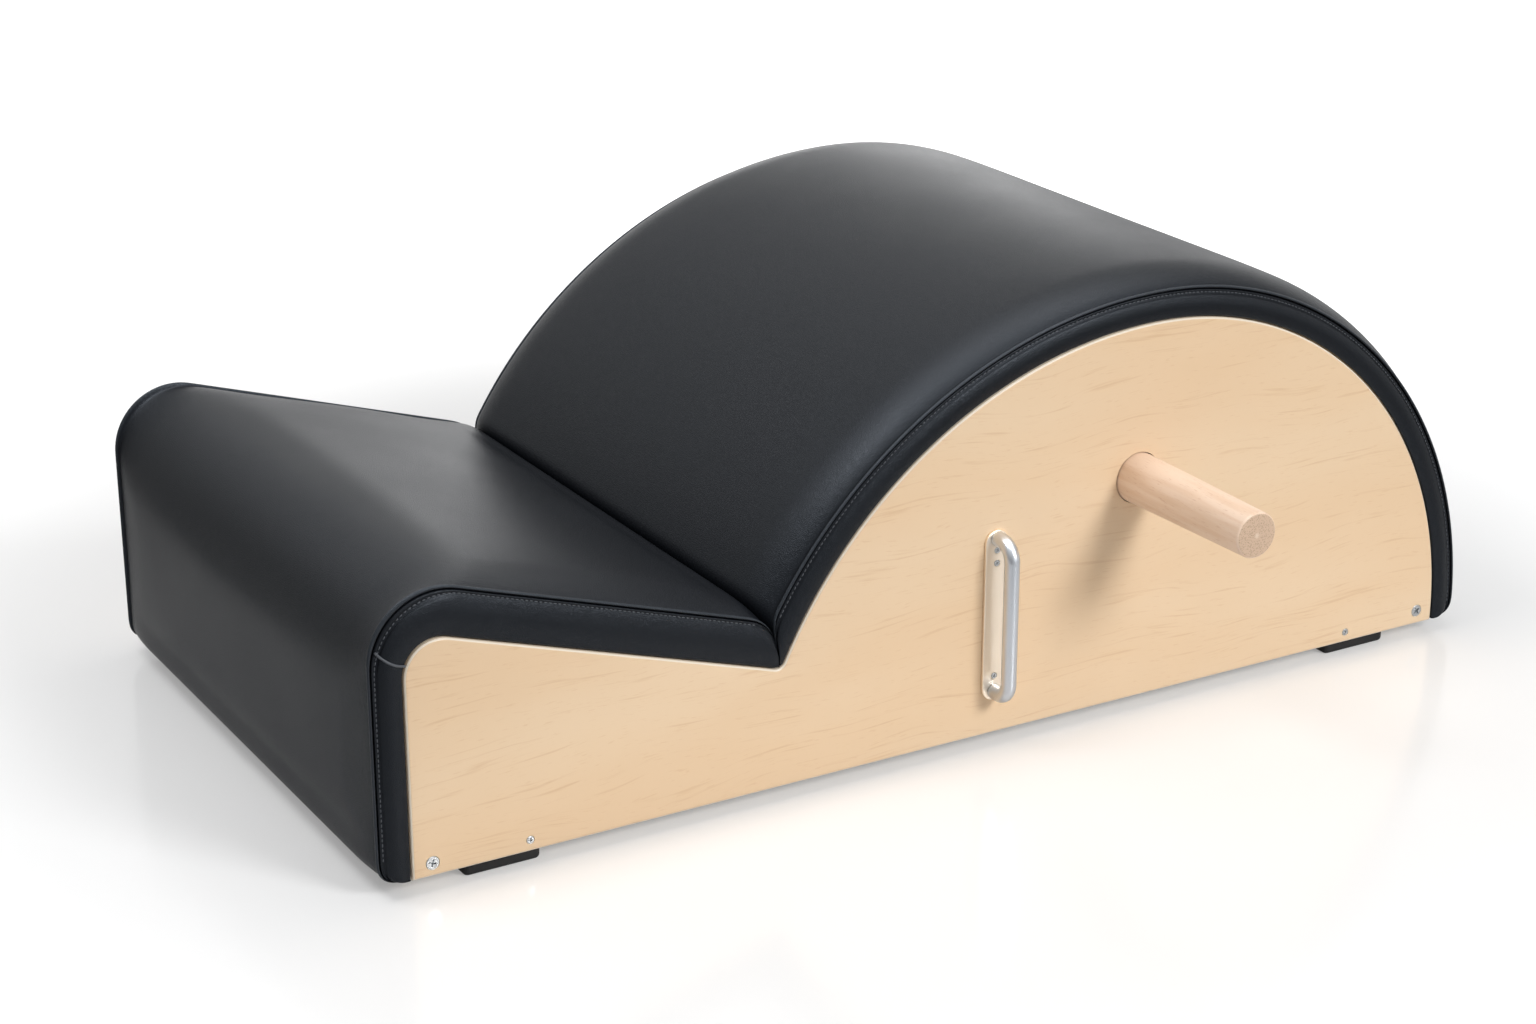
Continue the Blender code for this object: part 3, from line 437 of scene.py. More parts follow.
@dataclass(frozen=True)
class BareWood(Finish):
    """Unlacquered softwood or birch ply of the frame: dry, with long soft grain along one axis."""

    name: str = "bare_wood"
    colour: str = "D9BC93"
    roughness: float = 0.65
    late_colour: str = "B98F5F"
    grain_axis: int = 1
    grain_length: float = 0.150
    grain_width: float = 0.004
    grain_depth: float = 0.0001

    def detail(self, pattern: Pattern) -> None:
        """Adds grain lines stretched along the piece's length.

        Args:
            pattern: The material's tree and shader.
        """
        sizes = [self.grain_width] * 3
        sizes[self.grain_axis] = self.grain_length
        grain = pattern.noise(*sizes, detail=3.0)
        pattern.paint(pattern.marks(grain, 0.45, 0.75, self.colour, self.late_colour, 0.5))
        pattern.roughen(grain, self.grain_depth)


@dataclass(frozen=True)
class TurnedBeech(Finish):
    """Beech turned on a lathe and oiled: pinkish, with short darker flecks along the peg."""

    name: str = "turned_beech"
    colour: str = "F3D8C1"
    roughness: float = 0.48
    band_colour: str = "E6C4A6"
    fleck_colour: str = "D3A888"
    band_sizes: Place = (0.006, 0.09, 0.006)
    fleck_sizes: Place = (0.0007, 0.007, 0.0007)
    fleck_depth: float = 0.00004

    def detail(self, pattern: Pattern) -> None:
        """Adds soft bands and fine flecks, both drawn out along Y, which is the peg's length.

        Args:
            pattern: The material's tree and shader.
        """
        bands = pattern.noise(*self.band_sizes)
        flecks = pattern.noise(*self.fleck_sizes, detail=1.0)
        tone = pattern.marks(bands, 0.42, 0.7, self.colour, self.band_colour, 0.7)
        pattern.paint(pattern.marks(flecks, 0.6, 0.8, tone, self.fleck_colour, 0.6))
        pattern.roughen(flecks, self.fleck_depth)


@dataclass(frozen=True)
class BeechEndGrain(Finish):
    """The cross-cut end of a beech dowel: darker, with open pores round a pale heart.

    The pores are drawn at 1 mm, several times the real size, so that they show in the render.
    """

    name: str = "beech_end_grain"
    colour: str = "D6B99F"
    roughness: float = 0.62
    pore_colour: str = "A1826A"
    heart_colour: str = "E6D0BB"
    pore_size: float = 0.0010
    pore_depth: float = 0.0001
    heart_radii: tuple[float, float] = (0.0026, 0.0008)
    axis_place: tuple[float, float] = (0.0, 0.0)

    def detail(self, pattern: Pattern) -> None:
        """Adds dark pores, and a pale mark at the centre.

        Args:
            pattern: The material's tree and shader.
        """
        tree = pattern.tree
        x, z = self.axis_place
        here = add_node(tree, "ShaderNodeTexCoord").outputs["Object"]
        centred = add_node(tree, "ShaderNodeMapping", {"Vector": here, "Location": (-x, 0.0, -z)}).outputs[0]
        flat = add_node(tree, "ShaderNodeVectorMath", {0: centred, 1: (1.0, 0.0, 1.0)}, MULTIPLY).outputs[0]
        radius = add_node(tree, "ShaderNodeVectorMath", {0: flat}, {"operation": "LENGTH"}).outputs["Value"]
        pores = pattern.texture("Voronoi", (self.pore_size,) * 3, place=flat).outputs["Distance"]
        tone = pattern.marks(pores, 0.5, 0.15, self.colour, self.pore_colour, 0.7)
        pattern.paint(pattern.marks(radius, *self.heart_radii, tone, self.heart_colour, 0.9))
        pattern.roughen(pores, self.pore_depth)


@dataclass(frozen=True)
class FineMetal(Finish):
    """A metal part whose fine marks soften what it reflects."""

    metallic: float = 1.0
    mark_sizes: Place = (0.0005, 0.0005, 0.0005)
    mark_depth: float = 0.00003
    roughness_spread: float = 0.05

    def detail(self, pattern: Pattern) -> None:
        """Adds fine marks, which the roughness follows.

        Args:
            pattern: The material's tree and shader.
        """
        marks = pattern.noise(*self.mark_sizes)
        pattern.roughen(marks, self.mark_depth)
        pattern.vary_roughness(marks, self.roughness, self.roughness_spread)


@dataclass(frozen=True)
class SatinBar(FineMetal):
    """Drawn aluminium bar, ground along Z and satin anodised: soft, streaked highlights."""

    name: str = "satin_aluminium"
    colour: str = "D8DDE4"
    roughness: float = 0.3
    mark_sizes: Place = (0.0003, 0.0003, 0.02)
    mark_depth: float = 0.00002
    roughness_spread: float = 0.06


@dataclass(frozen=True)
class BlastedNickel(FineMetal):
    """Steel, bead-blasted and nickel-plated: warm and pale, with no clear reflections."""

    name: str = "blasted_nickel"
    colour: str = "FFF1DE"
    roughness: float = 0.42


@dataclass(frozen=True)
class ZincScrew(FineMetal):
    """Screw steel, bright zinc-plated: a cool light grey, dulled by its plating."""

    name: str = "zinc_plated_steel"
    colour: str = "C6C9CB"
    roughness: float = 0.36


@dataclass(frozen=True)
class FootRubber(Finish):
    """Moulded natural rubber, filled with carbon black: matt, with a faint cloudy bloom."""

    name: str = "moulded_black_rubber"
    colour: str = "161617"
    roughness: float = 0.68
    bloom_colour: str = "242425"
    bloom_size: float = 0.02
    grain_size: float = 0.0008
    grain_depth: float = 0.0001

    def detail(self, pattern: Pattern) -> None:
        """Adds a spark-eroded mould texture, and bloom over it.

        Args:
            pattern: The material's tree and shader.
        """
        bloom = pattern.noise(self.bloom_size)
        pattern.paint(pattern.marks(bloom, 0.4, 0.8, self.colour, self.bloom_colour, 0.6))
        pattern.roughen(pattern.noise(self.grain_size), self.grain_depth)


LEATHERETTE = Leatherette()
THREAD = SewingThread()
VENEER = MapleVeneer()
PLY_EDGE = PlyEdge()
SKIN_PLY = BareWood("birch_skin_ply", "DCC198", grain_axis=1)
RIB_PLY = BareWood("birch_rib_ply", "D9BC93", grain_axis=0)
PINE = BareWood("planed_pine", "DDBE8C", late_colour="B5834E")
BEECH = TurnedBeech()
SATIN = SatinBar()
NICKEL = BlastedNickel()
ZINC = ZincScrew()
RUBBER = FootRubber()


# Meshes


def new_object(name: str, mesh: Mesh, finishes: Sequence[Finish] = ()) -> Object:
    """Links a mesh as an object at the origin.

    Args:
        name: The object's name.
        mesh: The mesh, in the frame's axes.
        finishes: The finishes of its material slots.

    Returns:
        The object.
    """
    obj = bpy.data.objects.new(name, mesh)
    bpy.context.scene.collection.objects.link(obj)
    for finish in finishes:
        mesh.materials.append(finish.material())
    return obj


def settle(piece: Object, slot: str, *nodes: str, body: str = BODY) -> None:
    """Args:
        piece: The finished piece.
        slot: Not used.
        *nodes: The CAD nodes that it stands for, if any.
        body: The body that it moves with.
    """
    if nodes:
        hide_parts(*nodes)
    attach(piece, body)


def shade(obj: Object) -> None:
    """Shades an object's rounds smooth and its edges sharp."""
    obj.data.shade_smooth()
    obj.data.set_sharp_from_angle(angle=SMOOTH_ANGLE)


def clean_up(builder: BMesh) -> None:
    """Merges a bmesh's doubles and turns its faces outwards."""
    bmesh.ops.remove_doubles(builder, verts=builder.verts, dist=MERGE_DISTANCE)
    bmesh.ops.recalc_face_normals(builder, faces=builder.faces)


def mesh_from(name: str, builder: BMesh) -> Mesh:
    """Turns a bmesh to a clean mesh.

    Args:
        name: The mesh's name.
        builder: The bmesh, which is freed.

    Returns:
        The mesh.
    """
    clean_up(builder)
    mesh = bpy.data.meshes.new(name)
    builder.to_mesh(mesh)
    builder.free()
    return mesh


def evaluated_mesh(obj: Object, name: str) -> Mesh:
    """Makes a plain mesh of an object with its modifiers applied.

    Args:
        obj: The object, which stays as it is.
        name: The new mesh's name.

    Returns:
        The mesh.
    """
    graph = bpy.context.evaluated_depsgraph_get()
    mesh = bpy.data.meshes.new_from_object(obj.evaluated_get(graph), depsgraph=graph)
    mesh.name = name
    return mesh


def apply_modifiers(obj: Object) -> None:
    """Swaps an object's mesh for the one that its modifiers make, and removes them.

    Args:
        obj: The object.
    """
    mesh = evaluated_mesh(obj, obj.data.name)
    obj.modifiers.clear()
    obj.data = mesh


def extruded(outline: Sequence[Vector], low_y: float, high_y: float) -> BMesh:
    """Draws an outline out to a closed body.

    Args:
        outline: The outline in (s, h).
        low_y: Where the body starts.
        high_y: Where it ends.

    Returns:
        The body, in the frame's axes.
    """
    builder = bmesh.new()
    face = builder.faces.new([builder.verts.new(world(p.x, low_y, p.y)) for p in outline])
    grown = bmesh.ops.extrude_face_region(builder, geom=[face])
    moved = [v for v in grown["geom"] if isinstance(v, bmesh.types.BMVert)]
    bmesh.ops.translate(builder, vec=(0, high_y - low_y, 0), verts=moved)
    return builder


def round_rim(builder: BMesh, axis: int, level: float, rounding: float, segments: int) -> None:
    """Rounds the rim of the flat face that lies at a level of an axis."""
    rim = [e for e in builder.edges if all(abs(v.co[axis] - level) < MERGE_DISTANCE for v in e.verts)]
    bmesh.ops.bevel(builder, geom=rim, offset=rounding, segments=segments, profile=0.5, affect="EDGES")


def turned(profile: Profile, facets: int, place: Matrix) -> BMesh:
    """Turns a closed body.

    Args:
        profile: (radius, height) from axis to axis.
        facets: How many steps go round.
        place: Turns and moves the body, which is made along +Z.

    Returns:
        The body.
    """
    builder = bmesh.new()
    points = [builder.verts.new((radius, 0, height)) for radius, height in profile]
    edges = [builder.edges.new(pair) for pair in zip(points, points[1:])]
    way = {"cent": (0, 0, 0), "axis": (0, 0, 1), "angle": 2 * pi, "steps": facets, "use_merge": True}
    bmesh.ops.spin(builder, geom=points + edges, **way)
    bmesh.ops.remove_doubles(builder, verts=builder.verts, dist=MERGE_DISTANCE)
    bmesh.ops.transform(builder, matrix=place, verts=builder.verts)
    return builder


def sweep(builder: BMesh, path: Sequence[Vector], across: Vector, radius: float, facets: int) -> None:
    """Sweeps a circle along a path and closes its ends.

    Args:
        builder: The mesh that the tube is added to.
        path: The tube's centre line, in a plane square to across.
        across: The unit vector square to the path's plane.
        radius: The tube's radius.
        facets: How many sides the circle has.
    """
    rings = []
    for i, point in enumerate(path):
        along = (path[min(i + 1, len(path) - 1)] - path[max(i - 1, 0)]).normalized()
        out = along.cross(across)
        angles = [2 * pi * k / facets for k in range(facets)]
        rings.append([builder.verts.new(point + radius * (cos(a) * across + sin(a) * out)) for a in angles])
    for ring, following in zip(rings, rings[1:]):
        for k in range(facets):
            builder.faces.new((ring[k - 1], ring[k], following[k], following[k - 1]))
    builder.faces.new(rings[0])
    builder.faces.new(rings[-1])


def outward(side: Side, s: float, h: float, y: float) -> Matrix:
    """Returns the place of a body made along +Z that points out of a side at (s, h)."""
    turn = Matrix.Rotation(-side.value * pi / 2, 4, "X")
    return Matrix.Translation(world(s, side.value * y, h)) @ turn


def cut(obj: Object, builders: Sequence[BMesh]) -> None:
    """Cuts closed bodies out of an object and applies the cuts.

    Args:
        obj: The object.
        builders: The bodies, which are freed.
    """
    whole = bpy.data.meshes.new("cutter")
    together = bmesh.new()
    for builder in builders:
        bmesh.ops.recalc_face_normals(builder, faces=builder.faces)
        builder.to_mesh(whole)
        together.from_mesh(whole)
        builder.free()
    together.to_mesh(whole)
    together.free()
    cutter = new_object("cutter", whole)
    step = obj.modifiers.new("cut", "BOOLEAN")
    step.operation = "DIFFERENCE"
    step.solver = "EXACT"
    step.object = cutter
    apply_modifiers(obj)
    bpy.data.objects.remove(cutter)
    bpy.data.meshes.remove(whole)


def arc(centre: Vector, radius: float, start: float, end: float, steps: int) -> list[Vector]:
    """Returns points on an arc with both ends; angles count from +s towards +h."""
    angles = [start + (end - start) * i / steps for i in range(steps + 1)]
    return [centre + radius * Vector((cos(a), sin(a))) for a in angles]


def bent(start: Vector, corner: Vector, end: Vector, steps: int) -> list[Vector]:
    """Returns points on the curve from start to end that a corner draws out."""
    shares = [i / steps for i in range(steps + 1)]
    return [(1 - t) ** 2 * start + 2 * t * (1 - t) * corner + t**2 * end for t in shares]


# Side view


@dataclass(frozen=True)
class SideView:
    """The side-view lines that the panels, skins and pads share, in (s, h)."""

    length: float = 0.840
    crown_s: float = 0.572
    crown_height: float = 0.278
    seat_side_radius: float = 0.334
    end_side_radius: float = 0.268
    slope: float = radians(17.44)
    seat_line_height: float = 0.1693
    seat_corner_radius: float = 0.024
    fillet: float = 0.007
    seat_side_facets: int = 56
    end_side_facets: int = 76
    corner_facets: int = 16
    fillet_facets: int = 8

    @property
    def seat_side_centre(self) -> Vector:
        """The centre of the barrel's arc on the seat side."""
        return Vector((self.crown_s, self.crown_height - self.seat_side_radius))

    @property
    def end_side_centre(self) -> Vector:
        """The centre of the barrel's arc on the end side."""
        return Vector((self.crown_s, self.crown_height - self.end_side_radius))

    @property
    def fillet_centre(self) -> Vector:
        """The centre of the small round in the valley."""
        return self.crossing(self.fillet, self.fillet)

    @property
    def fillet_angle(self) -> float:
        """The fillet centre's angle about the seat-side arc's centre."""
        return self.seat_side_angle(self.fillet_centre)

    @property
    def fillet_on_slope(self) -> float:
        """The s at which the fillet leaves the slope."""
        return self.fillet_centre.x - self.fillet * sin(self.slope)

    @property
    def slope_normal(self) -> Vector:
        """The unit vector square to the slope."""
        return Vector((sin(self.slope), cos(self.slope)))

    def seat_line(self, s: float, offset: float = 0.0) -> Vector:
        """Returns the point at s on the slope, moved out square to it by offset."""
        return Vector((s, self.seat_line_height - tan(self.slope) * s + offset / cos(self.slope)))

    def crossing(self, seat_offset: float, barrel_offset: float) -> Vector:
        """Finds where the slope meets the barrel's seat-side arc.

        Args:
            seat_offset: How far the slope is moved out.
            barrel_offset: How far the arc is moved out.

        Returns:
            Their crossing in the valley.
        """
        slope = tan(self.slope)
        rise = self.seat_line(0.0, seat_offset).y - self.seat_side_centre.y
        a = 1 + slope**2
        b = -2 * (self.crown_s + slope * rise)
        c = self.crown_s**2 + rise**2 - (self.seat_side_radius + barrel_offset) ** 2
        return self.seat_line((-b - sqrt(b**2 - 4 * a * c)) / (2 * a), seat_offset)

    def seat_side_angle(self, point: Vector) -> float:
        """Returns the angle of a point about the seat-side arc's centre."""
        away = point - self.seat_side_centre
        return atan2(away.y, away.x)

    def barrel(self, offset: float, start: float, low: float) -> list[Vector]:
        """Draws the barrel's curve.

        Args:
            offset: How far it is moved out.
            start: The angle on its seat side at which it starts.
            low: The height at which it ends.

        Returns:
            Its points, over both arcs.
        """
        radius = self.seat_side_radius + offset
        seat_side = arc(self.seat_side_centre, radius, start, pi / 2, self.seat_side_facets)
        radius = self.end_side_radius + offset
        end = asin((low - self.end_side_centre.y) / radius)
        return seat_side + arc(self.end_side_centre, radius, pi / 2, end, self.end_side_facets)[1:]

    def seat_corner(self, end_offset: float, top_offset: float, radius: float, steps: int) -> list[Vector]:
        """Returns the rounded corner between the seat end and the slope, both moved out."""
        centre = self.seat_line(radius - end_offset, top_offset - radius)
        return arc(centre, radius, pi, pi / 2 - self.slope, steps)

    def panel_outline(self) -> list[Vector]:
        """Draws a side panel.

        Returns:
            Its outline, from its lower corner at the seat end over the top.
        """
        start, end = -pi / 2 - self.slope, self.fillet_angle - pi
        return [
            Vector((0.0, 0.0)),
            *self.seat_corner(0.0, 0.0, self.seat_corner_radius, self.corner_facets),
            *arc(self.fillet_centre, self.fillet, start, end, self.fillet_facets),
            *self.barrel(0.0, self.fillet_angle, self.end_side_centre.y)[1:],
            Vector((self.length, 0.0)),
        ]


VIEW = SideView()


# Pads


@dataclass(frozen=True)
class PadColumn:
    """A line along a pad: its y, its share of the seam's height and of the crown, and what it adds."""

    y: float
    seam_share: float
    crown_share: float
    extra: float = 0.0
    floor: float = 0.0008
    inset: float = 0.0

    @property
    def is_hem(self) -> bool:
        """True on the hem and under the pad, where the line stays close to the wood."""
        return self.seam_share == 0.0

    @property
    def is_sewn(self) -> bool:
        """True at the seam's height, beside the crown."""
        return self.seam_share == 1.0 and self.crown_share == 0.0


def mirrored(half: list[PadColumn], middle: Sequence[PadColumn] = ()) -> list[PadColumn]:
    """Returns a half's columns on the right side, the middle's, and the half's on the left."""
    right = [replace(column, y=-column.y) for column in half]
    return [*right, *middle, *half[::-1]]


@dataclass(frozen=True)
class PadShape:
    """What both pads share: how their side strips, seams and crowned tops are shaped."""

    hem_inset: float = 0.0010
    strip_bulge: float = 0.0026
    strip_share: float = 0.8
    seam_inset: float = 0.0034
    stitch_drop: float = 0.0026
    fold_height: float = 0.0023
    fold_inset: float = 0.0050
    roll_width: float = 0.036
    roll_power: float = 0.68
    middle_inset: float = 0.05
    swell: float = 0.0025
    pressure: float = 4.0
    strip_facets: int = 9
    middle_facets: int = 14
    closeness_reach: float = 0.022

    def strip(self, share: float) -> PadColumn:
        """Returns the side strip's column at a share of the seam's height."""
        drawn_in = self.strip_bulge * sin(pi * min(share, 1.0)) - (self.seam_inset - self.hem_inset) * share
        return PadColumn(HALF_WIDTH - self.hem_inset + drawn_in, share, 0.0)

    def roll(self, inset: float, extra: float = 0.0) -> PadColumn:
        """Returns a column of the rounded shoulder, at an inset from the pad's side."""
        share = min(max((inset - self.fold_inset) / self.roll_width, 0.0), 1.0)
        return PadColumn(HALF_WIDTH - inset, 1.0, (1 - (1 - share) ** 2) ** self.roll_power, extra)

    def seam_columns(self) -> list[PadColumn]:
        """Shapes the stitch line's dip, the groove and the fold that laps over it.

        Returns:
            Their columns, from the strip to the shoulder.
        """
        dip = [(0.0012, -0.0040), (0.0010, -0.0033), (0.0002, -self.stitch_drop), (0.0010, -0.0019)]
        groove = [(0.0011, -0.0010), (0.0003, -0.0004), (-0.0018, -0.0003), (-0.0018, 0.0)]
        rise = [(0.0002, 0.04), (0.0013, 0.20), (0.0018, 0.55), (0.0013, 0.90)]
        fall = [(0.0003, 1.05), (-0.0006, 0.85), (-0.0010, 0.35)]
        fold = [(out, self.fold_height * share) for out, share in rise + fall]
        outer = HALF_WIDTH - self.seam_inset
        return [PadColumn(outer + out, 1.0, 0.0, extra) for out, extra in dip + groove + fold]

    def is_fold(self, column: PadColumn) -> bool:
        """Tells whether a column runs along the outer half of the fold."""
        return column.crown_share == 0.0 and column.extra >= self.fold_height * 0.5

    def middle_columns(self) -> list[PadColumn]:
        """Returns the flat middle's columns, between the two shoulders."""
        edge, steps = HALF_WIDTH - self.middle_inset, self.middle_facets
        return [PadColumn(-edge + 2 * edge * i / steps, 1.0, 1.0) for i in range(steps + 1)]

    def full_columns(self) -> list[PadColumn]:
        """Lists the columns of the finished pad's outside.

        Returns:
            The columns, from the right hem to the left.
        """
        strip = [self.strip(self.strip_share * i / self.strip_facets) for i in range(self.strip_facets + 1)]
        insets = (0.0066, 0.0082, 0.0105, 0.0135, 0.017, 0.021, 0.026, 0.032, 0.038, 0.0445)
        top = [self.roll(0.0050, 0.0003), self.roll(0.0056, 0.0001), *map(self.roll, insets)]
        return mirrored(strip + self.seam_columns() + top, self.middle_columns())

    def cloth_columns(self) -> list[PadColumn]:
        """Lists the fewer columns of the cloth that is blown up, without the seam's detail.

        Returns:
            The columns, from the right hem to the left.
        """
        strip = [self.strip(share) for share in (0.0, 0.25, 0.5, 0.75, 1.0)]
        top = [self.roll(inset) for inset in (0.009, 0.016, 0.024, 0.033, 0.0435)]
        return mirrored(strip + top, self.middle_columns())

    def under_columns(self) -> list[PadColumn]:
        """Lists the columns under the pad, which step over the skin.

        Returns:
            The columns, from the left hem to the right.
        """
        hem = PadColumn(-HALF_WIDTH + 0.0024, 0.0, 0.0, floor=0.0008, inset=0.0012)
        over_skin = PadColumn(-HALF_WIDTH + 0.0034, 0.0, 0.0, floor=0.0050, inset=0.0020)
        return mirrored([hem, over_skin])


def rounded_corner(start: Vector, corner: Vector, end: Vector, reach: float, steps: int) -> list[Vector]:
    """Rounds a corner.

    Args:
        start: A point before the corner.
        corner: The corner.
        end: A point after it.
        reach: How far before the corner the round may leave each side.
        steps: How many facets it has.

    Returns:
        The round's points.
    """
    back, on = start - corner, end - corner
    first = corner + back.normalized() * min(reach, back.length * 0.9)
    last = corner + on.normalized() * min(reach, on.length * 0.9)
    return bent(first, corner, last, steps)


@dataclass(frozen=True)
class Pad:
    """A padded cushion of foam under leatherette, which bends over the wood below it."""

    name: str
    seam: float
    crown: float
    shape: PadShape = PadShape()
    thinnest: float = 0.0015
    low_edge: float = 0.0010
    low_rounding: float = 0.016
    low_flat: float = 0.005
    foot_margin: float = 0.0005
    crease_rounding: float = 0.008
    side_crease_rounding: float = 0.008
    crease_foot: float = 0.0036
    valley_gap: float = 0.0014
    crease_side: int = 1
    wall_facets: int = 3
    corner_facets: int = 7
    stitch_pitch: float = 0.0034
    stitch_length: float = 0.0025
    thread_radius: float = 0.00050
    CLOTH_FRAMES: ClassVar[int] = 20
    CLOTH: ClassVar[dict[str, object]] = {
        "quality": 6,
        "tension_stiffness": 20,
        "compression_stiffness": 20,
        "bending_stiffness": 2,
        "use_pressure": True,
        "vertex_group_mass": "held",
    }

    @property
    def crease_rows(self) -> int:
        """How many rows the wall in the crease and its rounding take."""
        return self.wall_facets + self.corner_facets

    @property
    def aside(self) -> Vector:
        """The step that keeps the pad off the other one in the crease."""
        return Vector((self.crease_side * TOUCH_GAP, 0))

    def standing(self, column: PadColumn, seam: float, crown: float) -> float:
        """Tells how far a column stands out from the wood.

        Args:
            column: The column.
            seam: How far the seam stands out.
            crown: How far the crown stands out.

        Returns:
            The distance, before the cloth's swell.
        """
        if column.is_hem:
            return column.floor
        rise = (crown - self.shape.swell - seam) * column.crown_share
        return max(seam * column.seam_share + rise + column.extra, self.thinnest)

    def height(self, column: PadColumn) -> float:
        """Returns how far a column stands out beside the crease."""
        return self.standing(column, self.seam, self.crown)

    def line(self, column: PadColumn) -> list[Vector]:
        """Returns a column's side-view points, from the crease to the low end."""
        raise NotImplementedError

    def free_rows(self) -> slice:
        """Returns the rows between the crease and the low end, which the cloth may leave."""
        raise NotImplementedError

    def crease_reach(self, column: PadColumn) -> float:
        """Returns how far the rounding in the crease reaches, which may grow towards the sides."""
        grown = (self.side_crease_rounding - self.crease_rounding) * (1 - column.crown_share)
        return min(self.crease_rounding + grown, self.height(column) * 0.6)

    def low_reach(self, standing: float) -> float:
        """Returns how far the rounding at the low end reaches."""
        return min(self.low_rounding, max(standing - self.low_flat, self.foot_margin) * 0.9)

    def valley_low(self, floor: float) -> Vector:
        """Returns the pad's first point, low in the valley's round."""
        return VIEW.crossing(floor + self.valley_gap, floor + self.valley_gap) + self.aside

    def crease_hem(self, foot: Vector, floor: float) -> list[Vector]:
        """Returns a hem's points from low in the valley's round to the foot of the wall."""
        low, steps = self.valley_low(floor), self.crease_rows - 1
        return [low.lerp(foot, i / steps) for i in range(steps + 1)]

    def crease_wall(self, column: PadColumn) -> tuple[Vector, Vector]:
        """Returns the low end and the corner of the pad's wall in the crease."""
        corner = VIEW.crossing(SEAT_PAD.height(column), BARREL_PAD.height(column))
        return VIEW.crossing(self.crease_foot, self.crease_foot) + self.aside, corner + self.aside

    def walled(
        self, wall_low: Vector, crease: list[Vector], run: list[Vector], end: list[Vector], end_foot: Vector
    ) -> list[Vector]:
        """Joins a column's parts and adds its walls in the crease and at the low end.

        Args:
            wall_low: The low end of the wall in the crease.
            crease: The rounding in the crease.
            run: The points after it.
            end: The rounding at the low end.
            end_foot: Where the pad meets the wood there.

        Returns:
            The column's side-view points.
        """
        steps = self.wall_facets
        wall = [wall_low.lerp(crease[0], i / (steps - 1)) for i in range(steps - 1)]
        end_wall = [end[-1].lerp(end_foot, (i + 1) / steps) for i in range(steps)]
        return [self.valley_low(0.0), *wall, *crease[:-1], *run, *end, *end_wall]

    def points(self, columns: Sequence[PadColumn]) -> np.ndarray:
        """Returns the points of some columns, as rows by columns by 3, in the frame."""
        lines = [[world(p.x, column.y, p.y) for p in self.line(column)] for column in columns]
        return np.array(lines).transpose(1, 0, 2)

    def cloth(self, patch: np.ndarray, held: Sequence[bool]) -> Object:
        """Lays the cover out as cloth with air under it.

        Args:
            patch: Its points, as rows by columns by 3.
            held: Whether each column is held, as the two rows at each end are.

        Returns:
            The cloth.
        """
        rows, across = patch.shape[:2]
        corners = (0, across, across + 1, 1)[:: self.crease_side]
        starts = [r * across + c for r in range(rows - 1) for c in range(across - 1)]
        faces = [tuple(start + corner for corner in corners) for start in starts]
        mesh = bpy.data.meshes.new(f"{self.name}_cloth")
        mesh.from_pydata(patch.reshape(-1, 3).tolist(), [], faces)
        cloth = new_object(f"{self.name}_cloth", mesh)
        ends = (0, 1, rows - 2, rows - 1)
        fixed = [r * across + c for r in range(rows) for c in range(across) if held[c] or r in ends]
        cloth.vertex_groups.new(name="held").add(fixed, 1.0, "ADD")
        settings = cloth.modifiers.new("cloth", "CLOTH").settings
        for name, value in self.CLOTH.items():
            setattr(settings, name, value)
        settings.uniform_pressure_force = self.shape.pressure
        settings.effector_weights.gravity = 0
        return cloth

    def blown_up(self) -> np.ndarray:
        """Simulates the cover as cloth, held at its hems, seams and ends, with air under it.

        Returns:
            How far each point of the cloth moved, as rows by columns by 3.
        """
        columns = self.shape.cloth_columns()
        points = self.points(columns)
        free = self.free_rows()
        patch = points[free]
        cloth = self.cloth(patch, [column.is_hem or column.is_sewn for column in columns])
        scene = bpy.context.scene
        for number in range(1, self.CLOTH_FRAMES + 1):
            scene.frame_set(number)
        settled = evaluated_mesh(cloth, "settled")
        after = np.empty(len(settled.vertices) * 3)
        settled.vertices.foreach_get("co", after)
        bpy.data.objects.remove(cloth)
        bpy.data.meshes.remove(settled)
        scene.frame_set(1)
        move = after.reshape(patch.shape) - patch
        far = np.linalg.norm(move, axis=2, keepdims=True)
        cap = self.shape.swell
        moved = np.zeros_like(points)
        moved[free] = move * (cap * np.tanh(far / cap) / np.maximum(far, MERGE_DISTANCE))
        LOG.info("%s: cloth moved %.2f mm at most before its cap", self.name, far.max() * 1000)
        return moved

    def lift(self, points: np.ndarray) -> np.ndarray:
        """Args:
            points: The cushion's outside.

        Returns:
            The cloth's full swell at each point, straight out of the wood.
        """
        out = np.cross(np.gradient(points, axis=0), np.array([0.0, 1.0, 0.0]))
        length = np.maximum(np.linalg.norm(out, axis=2, keepdims=True), MERGE_DISTANCE)
        return out / length * self.shape.swell * self.crease_side

    def outside(self) -> np.ndarray:
        """Shapes the finished cushion's outside.

        Returns:
            The points of its full columns, moved as the cloth was.
        """
        columns = self.shape.full_columns()
        points = self.points(columns)
        cloth_y = [column.y for column in self.shape.cloth_columns()]
        full_y = [column.y for column in columns]
        for row, moved in zip(points, self.blown_up()):
            for axis in range(3):
                row[:, axis] += np.interp(full_y, cloth_y, moved[:, axis])
        return points

